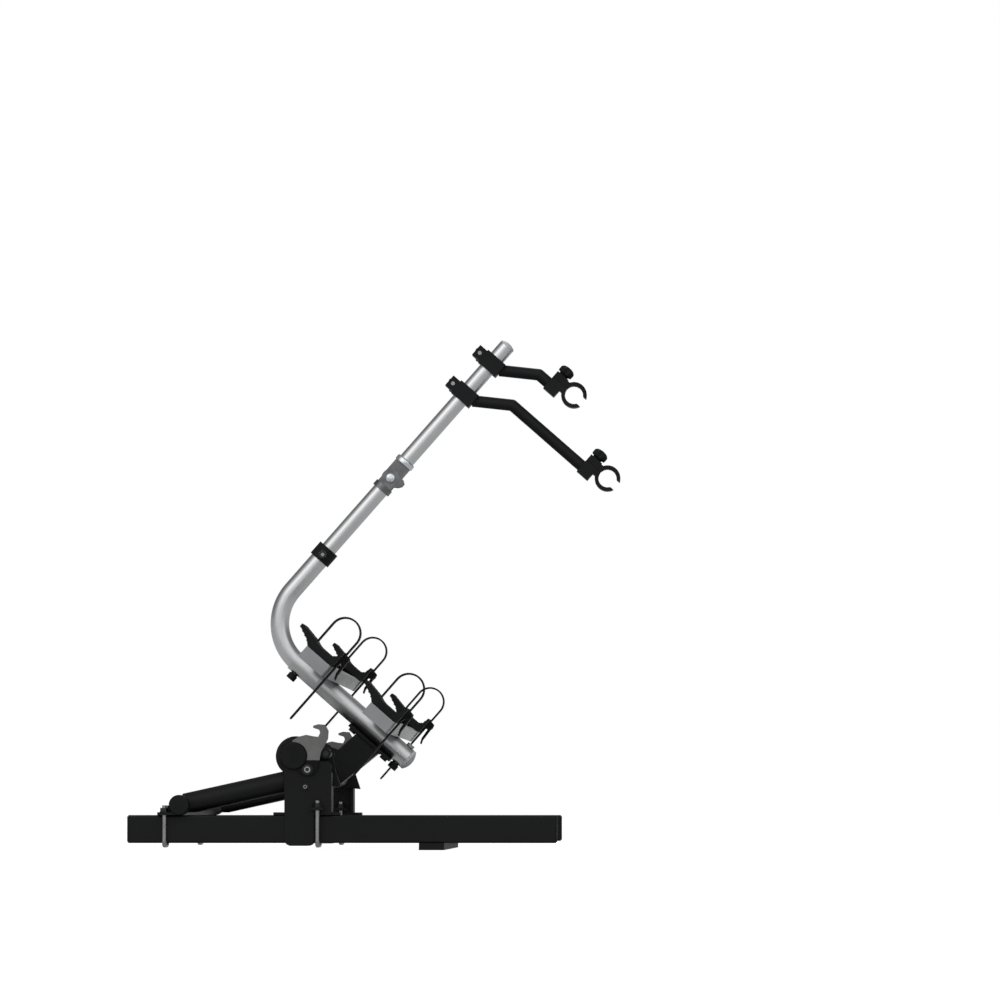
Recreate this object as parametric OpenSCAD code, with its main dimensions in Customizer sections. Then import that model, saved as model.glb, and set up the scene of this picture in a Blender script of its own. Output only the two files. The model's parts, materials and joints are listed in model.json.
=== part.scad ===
// Two-bike carrier for a caravan drawbar, shown tilted down.
// Millimetres. X runs along the drawbar, Y across it, Z is up.
// The origin is the centre of the cross plate's underside.

/* [Base] */
// Length of a base rail without its end caps
rail_len = 760; // [700:1:900]
// Width of a base rail
rail_w = 50; // [44:1:60]
// Height of a base rail
rail_h = 50; // [44:1:60]
// Wall of a base rail
rail_wall = 3; // [2:0.5:4]
// Radius of a base rail's long edges
rail_corner = 4; // [3:0.5:6]
// Distance between the centre lines of the two base rails
rail_pitch = 800; // [790:1:840]
// Thickness of the flange of a rail end cap
rail_cap_t = 4; // [2:0.5:8]
// Width of the cross plate along the rails
plate_w = 45; // [40:1:70]
// Thickness of the cross plate
plate_t = 12.5; // [10:0.5:16]
// Distance between the two drawbar holes of the cross plate
plate_hole_span = 600; // [400:10:680]
// Radius of a drawbar hole
plate_hole_r = 4.5; // [3.5:0.5:7]
// Distance from the cross plate to the tilt axis
pivot_from_plate = 246; // [230:1:270]
// Distance from the tilt axis to the front end of a rail
pivot_from_end = 294; // [280:1:310]
// Height of the tilt axis above the rails
pivot_rise = 105.5; // [104:0.5:112]

/* [Brackets] */
// Sheet thickness of a bracket
bracket_t = 4.5; // [3:0.5:5]
// Front edge of a bracket, measured from the tilt axis
bracket_front = 16.6; // [14:0.1:20]
// Rear edge of the skirt, measured from the tilt axis
skirt_rear = 36.4; // [33:0.1:37]
// Rear edge of a bracket, measured from the tilt axis
bracket_rear = 67.4; // [66:0.1:72]
// Top edge of a bracket below the tilt axis
bracket_drop = 10; // [9:0.5:12]
// How far the skirt hangs below the rail
skirt_drop = 5; // [2:0.5:8]
// Radius of the rod of a U-bolt
u_rod_r = 4; // [3:0.5:4.5]
// Place of the rear U-bolts behind the tilt axis
u_rear_x = 43; // [42:0.5:46]
// Place of the front U-bolts before the tilt axis
u_front_x = 231; // [231:0.5:236]
// Thickness of the ears and feet under the U-bolt nuts
foot_t = 5; // [4:0.5:8]
// Radius of the pivot tube
pivot_r = 24; // [20:0.5:24.5]
// Wall of the pivot tube
pivot_wall = 3; // [2:0.5:4]
// Radius of the front cross tube
front_r = 18; // [15:0.5:19]
// Place of the front cross tube before the tilt axis
front_x = 204.6; // [200:0.1:206]
// Radius of a strut
strut_r = 19; // [15:0.5:20]
// Wall of the front cross tube and the struts
strut_wall = 2.5; // [2:0.5:4]
// Height at which a strut meets its bracket, below the tilt axis
strut_drop = 46; // [44:1:52]
// How far the cross tubes stand out past the brackets
tube_over = 7; // [6.5:0.5:12]

/* [Hooks] */
// Thickness of a hook plate
hook_t = 5; // [4:0.5:6]
// Radius of a hook bolt
hook_bolt_r = 5; // [4:0.5:5]
// Distance from the tilt axis to the latch bolts
latch_r = 57.5; // [56:0.5:59]
// Angle of the latch bolts above the upright frame's floor
latch_angle = 45.6; // [45:0.1:46]
// Radius of a latch bolt
latch_bolt_r = 6; // [4.5:0.5:6.5]
// Wall of a latch housing
latch_wall = 3; // [2:0.5:3.5]

/* [Tilting frame] */
// Angle that the frame is tilted down from upright
tilt = 41.3; // [41:0.1:43]
// Distance between the outer faces of the side plates
side_span = 738; // [730:1:738]
// Thickness of a side plate
side_t = 6; // [5:0.5:8]
// Radius of a pivot bush
bush_r = 28; // [26:0.5:30]
// Radius of the cross tube of the frame
cross_r = 21; // [18:0.5:22]
// Wall of the cross tube of the frame
cross_wall = 3; // [2:0.5:4]
// Distance from the tilt axis to the cross tube of the frame
cross_x = 50; // [49:0.5:52]
// Width of the arm under the spine, across the carrier
arm_w = 60; // [50:1:70]
// Wall of the arm
arm_wall = 4; // [3:0.5:5]
// Thickness of the arm's flange
flange_t = 6; // [5:0.5:8]
// Radius of the spine tube
spine_r = 20; // [19.5:0.5:22]
// Length of the spine tube
spine_len = 280; // [276:2:300]
// Height of the spine above the tilt axis
spine_z = 122; // [118:1:130]
// Radius of the spine's through bolts
spine_bolt_r = 4; // [3:0.5:5]

/* [Wheel rails] */
// Length of a wheel rail without its end caps
wheel_rail_len = 1200; // [1100:10:1400]
// Width of a wheel rail
wheel_rail_w = 54; // [52:1:58]
// Height of a wheel rail
wheel_rail_h = 24; // [20:1:30]
// Wall of a wheel rail
wheel_rail_wall = 2.5; // [2:0.5:3]
// Width of a lip at the top of a wheel rail
wheel_rail_lip = 10; // [8:1:12]
// Distance between the two wheel rails
bike_pitch = 150; // [145:1:170]
// Length of a wheel holder
holder_len = 130; // [110:2:150]
// Distance from the end of a wheel rail to the middle of a wheel holder
holder_inset = 70; // [70:5:160]
// Thickness of a strap
strap_t = 3; // [2:0.5:4]
// Width of a strap
strap_w = 25; // [20:1:30]
// Length of the hanging strap tail below the seat
strap_tail = 90; // [60:5:120]
// Height of a strap's straight legs above the rail
strap_rise = 60; // [50:1:70]

/* [Post] */
// Radius of the lower post
post_r = 17.5; // [17:0.5:17.5]
// Radius of the telescoping post
inner_r = 15; // [14:0.5:15]
// Wall of the telescoping post
inner_wall = 2; // [1.5:0.5:3]
// Radius of the post's bend
bend_r = 95; // [80:1:100]
// Distance from the tilt axis to the post
post_x = 229; // [227:1:245]
// Top end of the lower post above the tilt axis
post_top = 312; // [310:2:330]
// Radius of the collar
collar_r = 21.2; // [20.5:0.1:25]
// Height of the hinge pivot above the tilt axis
hinge_z = 495; // [485:5:540]

/* [Frame holders] */
// Height of the long arm's clamp above the tilt axis
long_z = 705; // [690:1:712]
// Distance from the long arm's clamp to the short arm's clamp
arm_step = 76; // [70:1:80]
// Height of the post's top above the short arm's clamp
top_over = 48; // [46:1:70]
// Reach of the short arm from the post to its jaw
short_reach = 155; // [150:1:175]
// Reach of the long arm from the post to its jaw
long_reach = 305; // [290:1:330]
// Radius of an arm tube
arm_r = 11; // [9:0.5:12]
// Radius of the frame tube that a jaw holds
jaw_r = 17.5; // [14:0.5:18]
// Wall of a jaw
jaw_wall = 6.5; // [5:0.5:8]
// Width of a jaw along the frame tube
jaw_w = 30; // [24:1:40]

/* [Fits] */
// Radial clearance of pieces that turn or slide in each other
run_gap = 0.1; // [0.08:0.01:0.1]
// Clearance beside moving pieces
side_gap = 0.3; // [0.25:0.05:0.4]
// Clearance of bolts in their holes
bolt_gap = 0.2; // [0.1:0.05:0.3]

/* [Hidden] */
$fn = 64;

// Heights and places that follow from the sizes above
rail_bottom = plate_t;
rail_top = rail_bottom + rail_h;
axis_x = -pivot_from_plate;
axis_z = rail_top + pivot_rise;
rail_front = axis_x - pivot_from_end;
rail_y = rail_pitch / 2;
bracket_half = rail_w / 2 + bracket_t;
bracket_out = rail_y + bracket_half;
bracket_in = rail_y - bracket_half;
plate_len = rail_pitch + rail_w;
tube_half = bracket_out + tube_over;
side_out = side_span / 2;
side_in = side_out - side_t;
spine_bottom = spine_z - spine_r;
spine_top = spine_z + spine_r;
rail_floor = spine_top;
rail_lip_top = rail_floor + wheel_rail_h;
front_rail_x = -bike_pitch / 2 + 1;
rear_rail_x = bike_pitch / 2 + 1;
seat_z = rail_lip_top + 14;
holder_y = wheel_rail_len / 2 - holder_inset;
short_z = long_z + arm_step;
upper_top = short_z + top_over;
inner_bottom = post_top - 65;
fork_bottom = hinge_z - 29;
tongue_base = hinge_z + 20;
latch_x = latch_r * cos(latch_angle);
latch_z = latch_r * sin(latch_angle);
hook_bolt_x = 25;
hook_bolt_z = -24.5;
stop_x = bracket_rear - bracket_t;
nut_r = 2 * u_rod_r - 0.5;
nut_h = 1.6 * u_rod_r;

// A rectangle with round corners, centred
module round_rect(w, h, r) {
  square([w - 2 * r, h], center = true);
  square([w, h - 2 * r], center = true);
  for (x = [-1, 1], y = [-1, 1])
    translate([x * (w / 2 - r), y * (h / 2 - r)]) circle(r = r, $fn = 32);
}

// A profile in Y and Z, extruded along X from x0
module along_x(x0, len) {
  translate([x0, 0, 0]) rotate([90, 0, 90]) linear_extrude(len) children();
}

// A profile in X and Z, extruded along Y and centred at y0
module along_y(y0, len) {
  translate([0, y0 + len / 2, 0]) rotate([90, 0, 0]) linear_extrude(len) children();
}

// A round rod along Y, centred at x, y, z
module rod_y(r, len, x = 0, y = 0, z = 0) {
  translate([x, y, z]) rotate([90, 0, 0]) cylinder(r = r, h = len, center = true);
}

// A round rod along X from x0
module rod_x(r, len, x0 = 0, z = 0) {
  translate([x0, 0, z]) rotate([0, 90, 0]) cylinder(r = r, h = len);
}

// A tube along Y
module tube_y(r, wall, len, x = 0, y = 0, z = 0) {
  difference() {
    rod_y(r, len, x, y, z);
    rod_y(r - wall, len + 2, x, y, z);
  }
}

// The same shape on both sides of the carrier
module both_sides() {
  children();
  mirror([0, 1, 0]) children();
}

// Coordinates that start at the tilt axis
module at_axis() {
  translate([axis_x, 0, axis_z]) children();
}

// Coordinates of the upright frame, tilted down
module tilted() {
  at_axis() rotate([0, tilt, 0]) children();
}

module base_rail(y) {
  translate([rail_front, y, rail_bottom + rail_h / 2]) along_x(0, rail_len)
    difference() {
      round_rect(rail_w, rail_h, rail_corner);
      round_rect(rail_w - 2 * rail_wall, rail_h - 2 * rail_wall, 1.5);
    }
}

// Places of the bolts that hold the rails on the cross plate
module at_plate_bolts(y) {
  for (k = [-1, 1]) translate([0, y + k * 11, 0]) children();
}

module drilled_rail(y) {
  difference() {
    base_rail(y);
    at_plate_bolts(y) cylinder(r = 4 + bolt_gap, h = 2 * (rail_bottom + rail_wall + 1), center = true);
  }
}

module base_rail_near() {
  color("#1b1c1e") drilled_rail(-rail_y);
}

module base_rail_far() {
  color("#1b1c1e") drilled_rail(rail_y);
}

module rail_end_caps() {
  inset_w = rail_w - 2 * rail_wall - 2 * bolt_gap;
  inset_h = rail_h - 2 * rail_wall - 2 * bolt_gap;
  color("#1b1c1e") for (y = [-rail_y, rail_y], e = [0, 1])
    translate([rail_front + e * rail_len, y, rail_bottom + rail_h / 2])
      mirror([1 - e, 0, 0]) {
        along_x(0, rail_cap_t / 2) round_rect(rail_w, rail_h, rail_corner);
        along_x(rail_cap_t / 2, rail_cap_t / 2) round_rect(rail_w - 4, rail_h - 4, rail_corner);
        along_x(-16, 16) difference() {
          round_rect(inset_w, inset_h, 1.5);
          round_rect(inset_w - 6, inset_h - 6, 1.5);
        }
      }
}

module cross_plate() {
  color("#222326") difference() {
    translate([0, 0, plate_t / 2]) cube([plate_w, plate_len, plate_t], center = true);
    for (k = [-1, 1]) translate([0, k * plate_hole_span / 2, -1])
      cylinder(r = plate_hole_r, h = plate_t + 2);
    for (y = [-rail_y, rail_y]) at_plate_bolts(y) {
      translate([0, 0, -1]) cylinder(r = 4 + bolt_gap, h = plate_t + 2);
      translate([0, 0, -0.01]) cylinder(r1 = 8.2, r2 = 4 + bolt_gap, h = 4.21);
    }
  }
}

module cross_plate_bolts() {
  color("#9a9ea2") for (y = [-rail_y, rail_y]) at_plate_bolts(y) {
    cylinder(r1 = 8, r2 = 4, h = 4);
    translate([0, 0, 3.9]) cylinder(r = 4, h = rail_bottom + rail_wall + 6);
    translate([0, 0, rail_bottom + rail_wall]) cylinder(r = 7.2, h = 6.4, $fn = 6);
  }
}

// Outline of a bracket's side wall, seen along Y from the tilt axis
module bracket_wall() {
  skirt = -pivot_rise - rail_h - skirt_drop;
  difference() {
    union() {
      polygon([[-bracket_front, skirt + 12], [-bracket_front + 12, skirt],
        [skirt_rear - 12, skirt], [skirt_rear, skirt + 12],
        [skirt_rear, -pivot_rise], [bracket_rear, -pivot_rise],
        [bracket_rear, -bracket_drop - 5], [bracket_rear - 5, -bracket_drop],
        [-bracket_front, -bracket_drop]]);
      translate([-bracket_front + 12, skirt + 12]) circle(r = 12);
      translate([skirt_rear - 12, skirt + 12]) circle(r = 12);
    }
    circle(r = pivot_r);
  }
}

// A flat plate on top of the rail or beside it, in bracket coordinates
module slab(x0, x1, y0, y1, z0, z1) {
  translate([x0, y0, z0]) cube([x1 - x0, y1 - y0, z1 - z0]);
}

ear_bottom = -pivot_rise + 8.5;
ear_top = ear_bottom + foot_t;
rear_leg = bracket_half + 2 * u_rod_r + 0.5 + side_gap;
front_leg = rail_w / 2 + u_rod_r;
nose_x = 98;
nose_z = 12;
stop_top = -nose_x * sin(tilt) + nose_z * cos(tilt) + 0.6;

module bracket() {
  floor = -pivot_rise;
  difference() {
    at_axis() {
      for (k = [-1, 1])
        along_y(rail_y + k * (rail_w + bracket_t) / 2, bracket_t) bracket_wall();
      slab(-bracket_front - 20, bracket_rear + 15, rail_y - rail_w / 2,
        rail_y + rail_w / 2, floor, floor + foot_t);
      slab(-bracket_front, bracket_t - bracket_front, rail_y - rail_w / 2 - 1,
        rail_y + rail_w / 2 + 1, floor + 1, -pivot_r - 1);
      slab(stop_x, bracket_rear, rail_y - rail_w / 2 - 1,
        rail_y + rail_w / 2 + 1, floor + 1, -bracket_drop - 20);
      slab(stop_x, bracket_rear, bracket_in - 8, bracket_in + 1, floor + 2, stop_top);
      for (k = [-1, 1]) translate([0, rail_y + k * (bracket_half + 9.5), 0])
        slab(u_rear_x - 12, u_rear_x + 12, -10, 10, ear_bottom, ear_top);
    }
    at_axis() {
      for (k = [-1, 1]) translate([u_rear_x, rail_y + k * rear_leg, ear_bottom - 1])
        cylinder(r = u_rod_r + bolt_gap, h = foot_t + 2);
      rod_y(hook_bolt_r + bolt_gap, 3 * bracket_t, hook_bolt_x, bracket_out, hook_bolt_z);
      rod_y(3 + bolt_gap, 3 * bracket_t, hook_bolt_x - 4, bracket_out, -55);
    }
  }
}

module bracket_near() {
  color("#1e1f21") mirror([0, 1, 0]) bracket();
}

module bracket_far() {
  color("#1e1f21") bracket();
}

// A U-bolt under a rail, its legs at plus and minus leg, up to the height top
module u_bolt(x, leg, top) {
  bend = 8;
  translate([x, 0, rail_bottom - u_rod_r]) {
    rod_y(u_rod_r, 2 * (leg - bend));
    for (k = [0, 1]) translate([0, (2 * k - 1) * (leg - bend), bend])
      rotate([90, 0, 90]) rotate([0, 0, 180 + 90 * k]) rotate_extrude(angle = 90)
        translate([bend, 0]) circle(r = u_rod_r);
    for (k = [-1, 1]) translate([0, k * leg, bend])
      cylinder(r = u_rod_r, h = top - (rail_bottom - u_rod_r + bend));
  }
}

module u_bolts() {
  color("#b9bcbf") for (y = [-rail_y, rail_y]) translate([0, y, 0]) {
    u_bolt(axis_x + u_rear_x, rear_leg, axis_z + ear_top + nut_h + 6);
    u_bolt(axis_x - u_front_x, front_leg, rail_top + foot_t + nut_h + 6);
  }
}

module washer_and_nut(r, h) {
  difference() {
    union() {
      cylinder(r = 2 * r + 0.5, h = 1.5);
      translate([0, 0, 1.4]) cylinder(r = 2 * r - 0.5, h = h, $fn = 6);
    }
    translate([0, 0, -1]) cylinder(r = r, h = h + 5);
  }
}

module u_bolt_nuts() {
  color("#c6c8ca") for (y = [-rail_y, rail_y], k = [-1, 1]) {
    translate([axis_x + u_rear_x, y + k * rear_leg, axis_z + ear_top])
      washer_and_nut(u_rod_r, nut_h);
    translate([axis_x - u_front_x, y + k * front_leg, rail_top + foot_t])
      washer_and_nut(u_rod_r, nut_h);
  }
}

module pivot_tube() {
  color("#1b1c1e") at_axis() tube_y(pivot_r, pivot_wall, 2 * tube_half);
}

// Plug and flange of a round end cap, towards +Y from the tube's end
module tube_cap(r, wall) {
  rotate([-90, 0, 0]) {
    cylinder(r = r, h = 2);
    translate([0, 0, 2]) cylinder(r1 = r, r2 = r - 3, h = 1.6);
    translate([0, 0, -12]) cylinder(r = r - wall - bolt_gap, h = 12.5);
  }
}

module pivot_tube_caps() {
  color("#141517") at_axis() both_sides()
    translate([0, tube_half, 0]) tube_cap(pivot_r, pivot_wall);
}

module front_cross_tube() {
  color("#1b1c1e") at_axis() {
    translate([-front_x, 0, front_r - pivot_rise]) tube_y(front_r, strut_wall, 2 * tube_half);
    both_sides() difference() {
      slab(-u_front_x - 12, -front_x, rail_y - front_leg - 10,
        rail_y + front_leg + 10, -pivot_rise, foot_t - pivot_rise);
      rod_y(front_r - 1, 900, -front_x, rail_y, front_r - pivot_rise);
      rod_y(front_r + side_gap, 30, -front_x, tube_half + 15, front_r - pivot_rise);
      for (k = [-1, 1]) translate([-u_front_x, rail_y + k * front_leg, -pivot_rise - 1])
        cylinder(r = u_rod_r + bolt_gap, h = foot_t + 2);
    }
  }
}

module front_tube_caps() {
  color("#1a1b1d") at_axis() both_sides()
    translate([-front_x, tube_half, front_r - pivot_rise]) tube_cap(front_r, strut_wall);
}

// One strut from the front cross tube to the bracket
module strut() {
  rise = pivot_rise - front_r - strut_drop;
  run = front_x - bracket_front;
  angle = atan2(rise, run);
  difference() {
    translate([-front_x, rail_y, front_r - pivot_rise]) rotate([0, 90 - angle, 0])
      difference() {
        translate([0, 0, 8]) cylinder(r = strut_r, h = run + 20);
        cylinder(r = strut_r - strut_wall, h = run + 60);
      }
    rod_y(front_r, 900, -front_x, 0, front_r - pivot_rise);
    slab(-bracket_front, 80, 0, 900, -200, 100);
    slab(-front_x - 40, 80, 0, 900, -pivot_rise - 40, foot_t - pivot_rise);
  }
}

module struts() {
  color("#1b1c1e") at_axis() both_sides() strut();
}

// The drawn hook fits a latch bolt 57.5 from the tilt axis
hook_k = latch_r / 57.5;

module hook_plate() {
  along_y(bracket_out + hook_t / 2, hook_t) difference() {
    polygon(hook_k * [[-2.6, 27], [8.4, 34], [22.4, 37.6], [34.9, 35], [43.8, 34],
      [47.4, 41], [45.6, 46.5], [34.9, 50], [34.9, 53.7], [43.8, 56.4],
      [56.4, 55.5], [62.6, 44.7], [61.7, 30.4], [56.4, 19.7], [49.2, 7],
      [45.6, -10.8], [42, -26], [33, -35], [20, -36], [10, -31], [6, -24]]);
    circle(r = pivot_r + side_gap);
    translate([hook_bolt_x, hook_bolt_z]) circle(r = hook_bolt_r + bolt_gap);
  }
}

module hook_plates() {
  color("#b7b9b4") at_axis() both_sides() hook_plate();
}

// A bolt from outside a bracket, with its nut inside
module bracket_bolt(r, x, z, face) {
  head = 1.2 * r;
  rod_y(r, face - bracket_out + bracket_t + head + 2, x,
    (face + bracket_out - bracket_t - head - 2) / 2, z);
  rod_y(2 * r, 1.5, x, face + 0.75, z);
  translate([x, face + 1.4, z]) rotate([-90, 0, 0]) cylinder(r = 1.8 * r, h = head, $fn = 6);
  translate([x, bracket_out - bracket_t, z]) rotate([90, 0, 0])
    cylinder(r = 1.7 * r, h = head, $fn = 6);
}

module hook_bolts() {
  color("#cfd1d2") at_axis() both_sides() {
    bracket_bolt(hook_bolt_r, hook_bolt_x, hook_bolt_z, bracket_out + hook_t);
    bracket_bolt(3, hook_bolt_x - 4, -55, bracket_out);
  }
}

// Side plate that turns on the pivot tube
module side_plate() {
  difference() {
    union() {
      rod_y(bush_r + 8, side_t, 0, side_out - side_t / 2, 0);
      rod_y(cross_r + 6, side_t, cross_x, side_out - side_t / 2, 0);
      rod_y(latch_bolt_r + latch_wall + 3, side_t, latch_x, side_out - side_t / 2, latch_z);
      along_y(side_out - side_t / 2, side_t)
        polygon([[0, 0], [-8, bush_r + 4], [latch_x - 9, latch_z + 5],
          [latch_x + 8, latch_z + 5], [74, 26], [nose_x, nose_z], [74, -5],
          [56, -24], [8, -bush_r - 5]]);
    }
    rod_y(bush_r, 4 * side_t, 0, side_out, 0);
    rod_y(latch_bolt_r + run_gap, 4 * side_t, latch_x, side_out, latch_z);
  }
}

module side_plate_near() {
  color("#232427") tilted() mirror([0, 1, 0]) side_plate();
}

module side_plate_far() {
  color("#232427") tilted() side_plate();
}

module pivot_bushes() {
  color("#d8d8d4") tilted() both_sides() difference() {
    union() {
      rod_y(bush_r, side_t, 0, side_out - side_t / 2, 0);
      rod_y(bush_r + 4, 3, 0, side_in - 1.5, 0);
    }
    rod_y(pivot_r + run_gap, 80, 0, side_in, 0);
    rod_y(cross_r + side_gap, 20, cross_x, side_in - 10, 0);
  }
}

module tilt_cross_tube() {
  color("#1c1d1f") tilted() tube_y(cross_r, cross_wall, 2 * side_in, cross_x);
}

spine_bolt_x = [17 - spine_len / 2, spine_len / 2 - 11];
flange_bottom = spine_bottom - flange_t;
flange_front = cross_x - 32;
flange_rear = spine_bolt_x[1] - 11;
flange_bolt_x = [flange_front + 11, flange_rear - 12];
arm_front = flange_front + 21;
arm_rear = flange_rear - 24;

module tilt_arm() {
  top = flange_bottom + 0.5;
  w = arm_wall;
  color("#1c1d1f") tilted() difference() {
    union() {
      along_y(0, arm_w) polygon([[cross_x - 21.5, 6], [arm_front, top], [arm_rear, top],
        [cross_x + 27, -4]]);
      slab(flange_front, flange_rear, -arm_w / 2, arm_w / 2, flange_bottom, spine_bottom);
    }
    along_y(0, arm_w - 2 * w) polygon([[cross_x - 21.5 + w, 3], [arm_front + w, flange_bottom],
      [arm_rear - w, flange_bottom], [cross_x + 27 - w, -10]]);
    rod_y(cross_r, arm_w + 4, cross_x);
    for (x = flange_bolt_x) translate([x, 0, flange_bottom - 1])
      cylinder(r = 4 + bolt_gap, h = flange_t + 4);
  }
}

module arm_flange_bolts() {
  color("#2a2b2d") tilted() for (x = flange_bolt_x) translate([x, 0, flange_bottom]) {
    translate([0, 0, -5.5]) cylinder(r = 7.5, h = 5.5, $fn = 6);
    translate([0, 0, -1]) cylinder(r = 4, h = flange_t + 15);
    translate([0, 0, flange_t + 4]) cylinder(r = 6.5, h = 5, $fn = 6);
  }
}

spine_in = post_r + run_gap;
rivet_x = -75;
stub_end = -55;
bend_x = bend_r - post_x;
bend_z = spine_z + bend_r;
sleeve_r = inner_r + run_gap;

module spine_tube() {
  color("#c3c6c9") tilted() difference() {
    rod_x(spine_r, spine_len, -spine_len / 2, spine_z);
    rod_x(spine_in, spine_len + 2, -spine_len / 2 - 1, spine_z);
    for (x = spine_bolt_x) translate([x, 0, spine_bottom - 1])
      cylinder(r = spine_bolt_r + bolt_gap, h = 2 * spine_r + 2);
    for (x = flange_bolt_x) translate([x, 0, spine_bottom - 1])
      cylinder(r = 4 + bolt_gap, h = spine_r);
    for (x = [front_rail_x, rear_rail_x]) translate([x, 0, spine_z])
      cylinder(r = 4 + bolt_gap, h = spine_r + 1);
    rod_y(3 + bolt_gap, 3 * spine_r, rivet_x, 0, spine_z);
  }
}

module spine_end_cap() {
  color("#d5d7d9") tilted() {
    rod_x(spine_r, 4, spine_len / 2, spine_z);
    translate([spine_len / 2 + 4, 0, spine_z]) rotate([0, 90, 0]) intersection() {
      cylinder(r = spine_r, h = 8);
      translate([0, 0, 8 - 1.6 * spine_r]) sphere(r = 1.6 * spine_r);
    }
    rod_x(spine_in - bolt_gap, 6, spine_len / 2 - 5.5, spine_z);
  }
}

// The L-shaped path of the lower post with radius r
module bend_solid(r, over = 0) {
  rod_x(r, stub_end + over - bend_x, bend_x, spine_z);
  translate([bend_x, 0, bend_z]) rotate([90, 0, 0]) rotate([0, 0, 180])
    rotate_extrude(angle = 90) translate([bend_r, 0]) circle(r = r);
  translate([-post_x, 0, bend_z]) cylinder(r = r, h = post_top + over - bend_z);
}

module bend_tube() {
  color("#c3c6c9") tilted() difference() {
    bend_solid(post_r);
    bend_solid(sleeve_r, 1);
    translate([spine_bolt_x[0], 0, spine_bottom])
      cylinder(r = spine_bolt_r + bolt_gap, h = 2 * spine_r);
    translate([front_rail_x, 0, spine_z]) cylinder(r = 4 + bolt_gap, h = spine_r);
    rod_y(3 + bolt_gap, 3 * spine_r, rivet_x, 0, spine_z);
    translate([0, -spine_r, 0]) rod_y(4 + bolt_gap, 2 * spine_r, -post_x, 0, post_top - 8);
  }
}

// Through bolts of the spine, bolts of the wheel rails, rivet and collar screw
module frame_fasteners() {
  color("#c9cbcd") tilted() {
    for (x = spine_bolt_x) translate([x, 0, 0]) {
      translate([0, 0, spine_top]) cylinder(r = 7.5, h = 5.3, $fn = 6);
      translate([0, 0, spine_bottom - 6]) cylinder(r = spine_bolt_r, h = 2 * spine_r + 7);
    }
    for (x = [front_rail_x, rear_rail_x]) translate([x, 0, 0]) {
      translate([0, 0, rail_floor + wheel_rail_wall]) cylinder(r = 9, h = 2.5);
      translate([0, 0, spine_z + 6]) cylinder(r = 4, h = spine_r - 6 + wheel_rail_wall + 1);
      translate([0, 0, spine_z + 6]) cylinder(r = 6, h = 5, $fn = 6);
    }
    rod_y(3, 2 * spine_r + 1, rivet_x, 0, spine_z);
    for (k = [-1, 1]) rod_y(5.5, 1.5, rivet_x, k * (spine_r + 0.75), spine_z);
    translate([-post_x, 0, post_top - 8]) {
      rod_y(4, collar_r - inner_r - side_gap + 1, 0, -(collar_r + inner_r + side_gap + 1) / 2);
      rod_y(7, 5, 0, -collar_r - 2.5);
    }
  }
}

module spine_knobs() {
  color("#17181a") tilted() for (x = spine_bolt_x) translate([x, 0, spine_bottom - 13])
    difference() {
      union() {
        cylinder(r = 9, h = 11);
        translate([0, 0, 10.9]) cylinder(r = 7, h = 2.1);
      }
      translate([0, 0, 7]) cylinder(r = spine_bolt_r, h = 10);
    }
}

slot_half = wheel_rail_w / 2 - wheel_rail_lip;

// Section of a wheel rail, its floor at zero
module rail_section() {
  difference() {
    translate([-wheel_rail_w / 2, 0]) square([wheel_rail_w, wheel_rail_h]);
    translate([-wheel_rail_w / 2 + wheel_rail_wall, wheel_rail_wall])
      square([wheel_rail_w - 2 * wheel_rail_wall, wheel_rail_h - 2 * wheel_rail_wall]);
    translate([-slot_half, wheel_rail_h / 2]) square([2 * slot_half, wheel_rail_h]);
  }
}

module wheel_rail(x) {
  tilted() difference() {
    translate([x, 0, rail_floor]) along_y(0, wheel_rail_len) rail_section();
    translate([x, 0, rail_floor - 1]) cylinder(r = 4 + bolt_gap, h = wheel_rail_wall + 2);
  }
}

module wheel_rail_front() {
  color("#cdd0d3") wheel_rail(front_rail_x);
}

module wheel_rail_rear() {
  color("#cdd0d3") wheel_rail(rear_rail_x);
}

module wheel_rail_end_caps() {
  inset = wheel_rail_w - 2 * wheel_rail_wall - 2 * bolt_gap;
  inset_h = wheel_rail_h - 2 * wheel_rail_wall - 2 * bolt_gap;
  color("#17181a") tilted() both_sides() for (x = [front_rail_x, rear_rail_x])
    translate([x, wheel_rail_len / 2, rail_floor]) {
      along_y(2, 4) translate([-wheel_rail_w / 2, 0]) square([wheel_rail_w, wheel_rail_h]);
      along_y(-6, 13) translate([-inset / 2, wheel_rail_wall + bolt_gap])
        square([inset, inset_h]);
    }
}

module collar() {
  color("#17181a") tilted() difference() {
    translate([-post_x, 0, post_top - 20]) difference() {
      cylinder(r = collar_r, h = 28);
      translate([0, 0, -1]) cylinder(r = post_r, h = 21);
      cylinder(r = sleeve_r, h = 40);
    }
    translate([-post_x, -spine_r, post_top - 8]) rod_y(4 + bolt_gap, 2 * spine_r);
  }
}

module latch_housings() {
  end = bracket_out - side_gap;
  color("#2b2c2f") tilted() both_sides() difference() {
    rod_y(latch_bolt_r + latch_wall, end - side_out, latch_x, (end + side_out) / 2, latch_z);
    rod_y(latch_bolt_r + run_gap, 200, latch_x, side_out, latch_z);
  }
}

module latch_bolt() {
  end = bracket_out - side_gap;
  rod_y(latch_bolt_r, end - side_in + 28, latch_x, (end + side_in - 28) / 2, latch_z);
  rod_y(latch_bolt_r + 4, 10, latch_x, side_in - 23, latch_z);
}

module latch_bolt_near() {
  color("#5b5e62") tilted() mirror([0, 1, 0]) latch_bolt();
}

module latch_bolt_far() {
  color("#5b5e62") tilted() latch_bolt();
}

module inner_tube() {
  color("#c9ccce") tilted() translate([-post_x, 0, inner_bottom]) difference() {
    cylinder(r = inner_r, h = fork_bottom + 8 - inner_bottom);
    translate([0, 0, -1]) cylinder(r = inner_r - inner_wall, h = fork_bottom + 12 - inner_bottom);
  }
}

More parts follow.
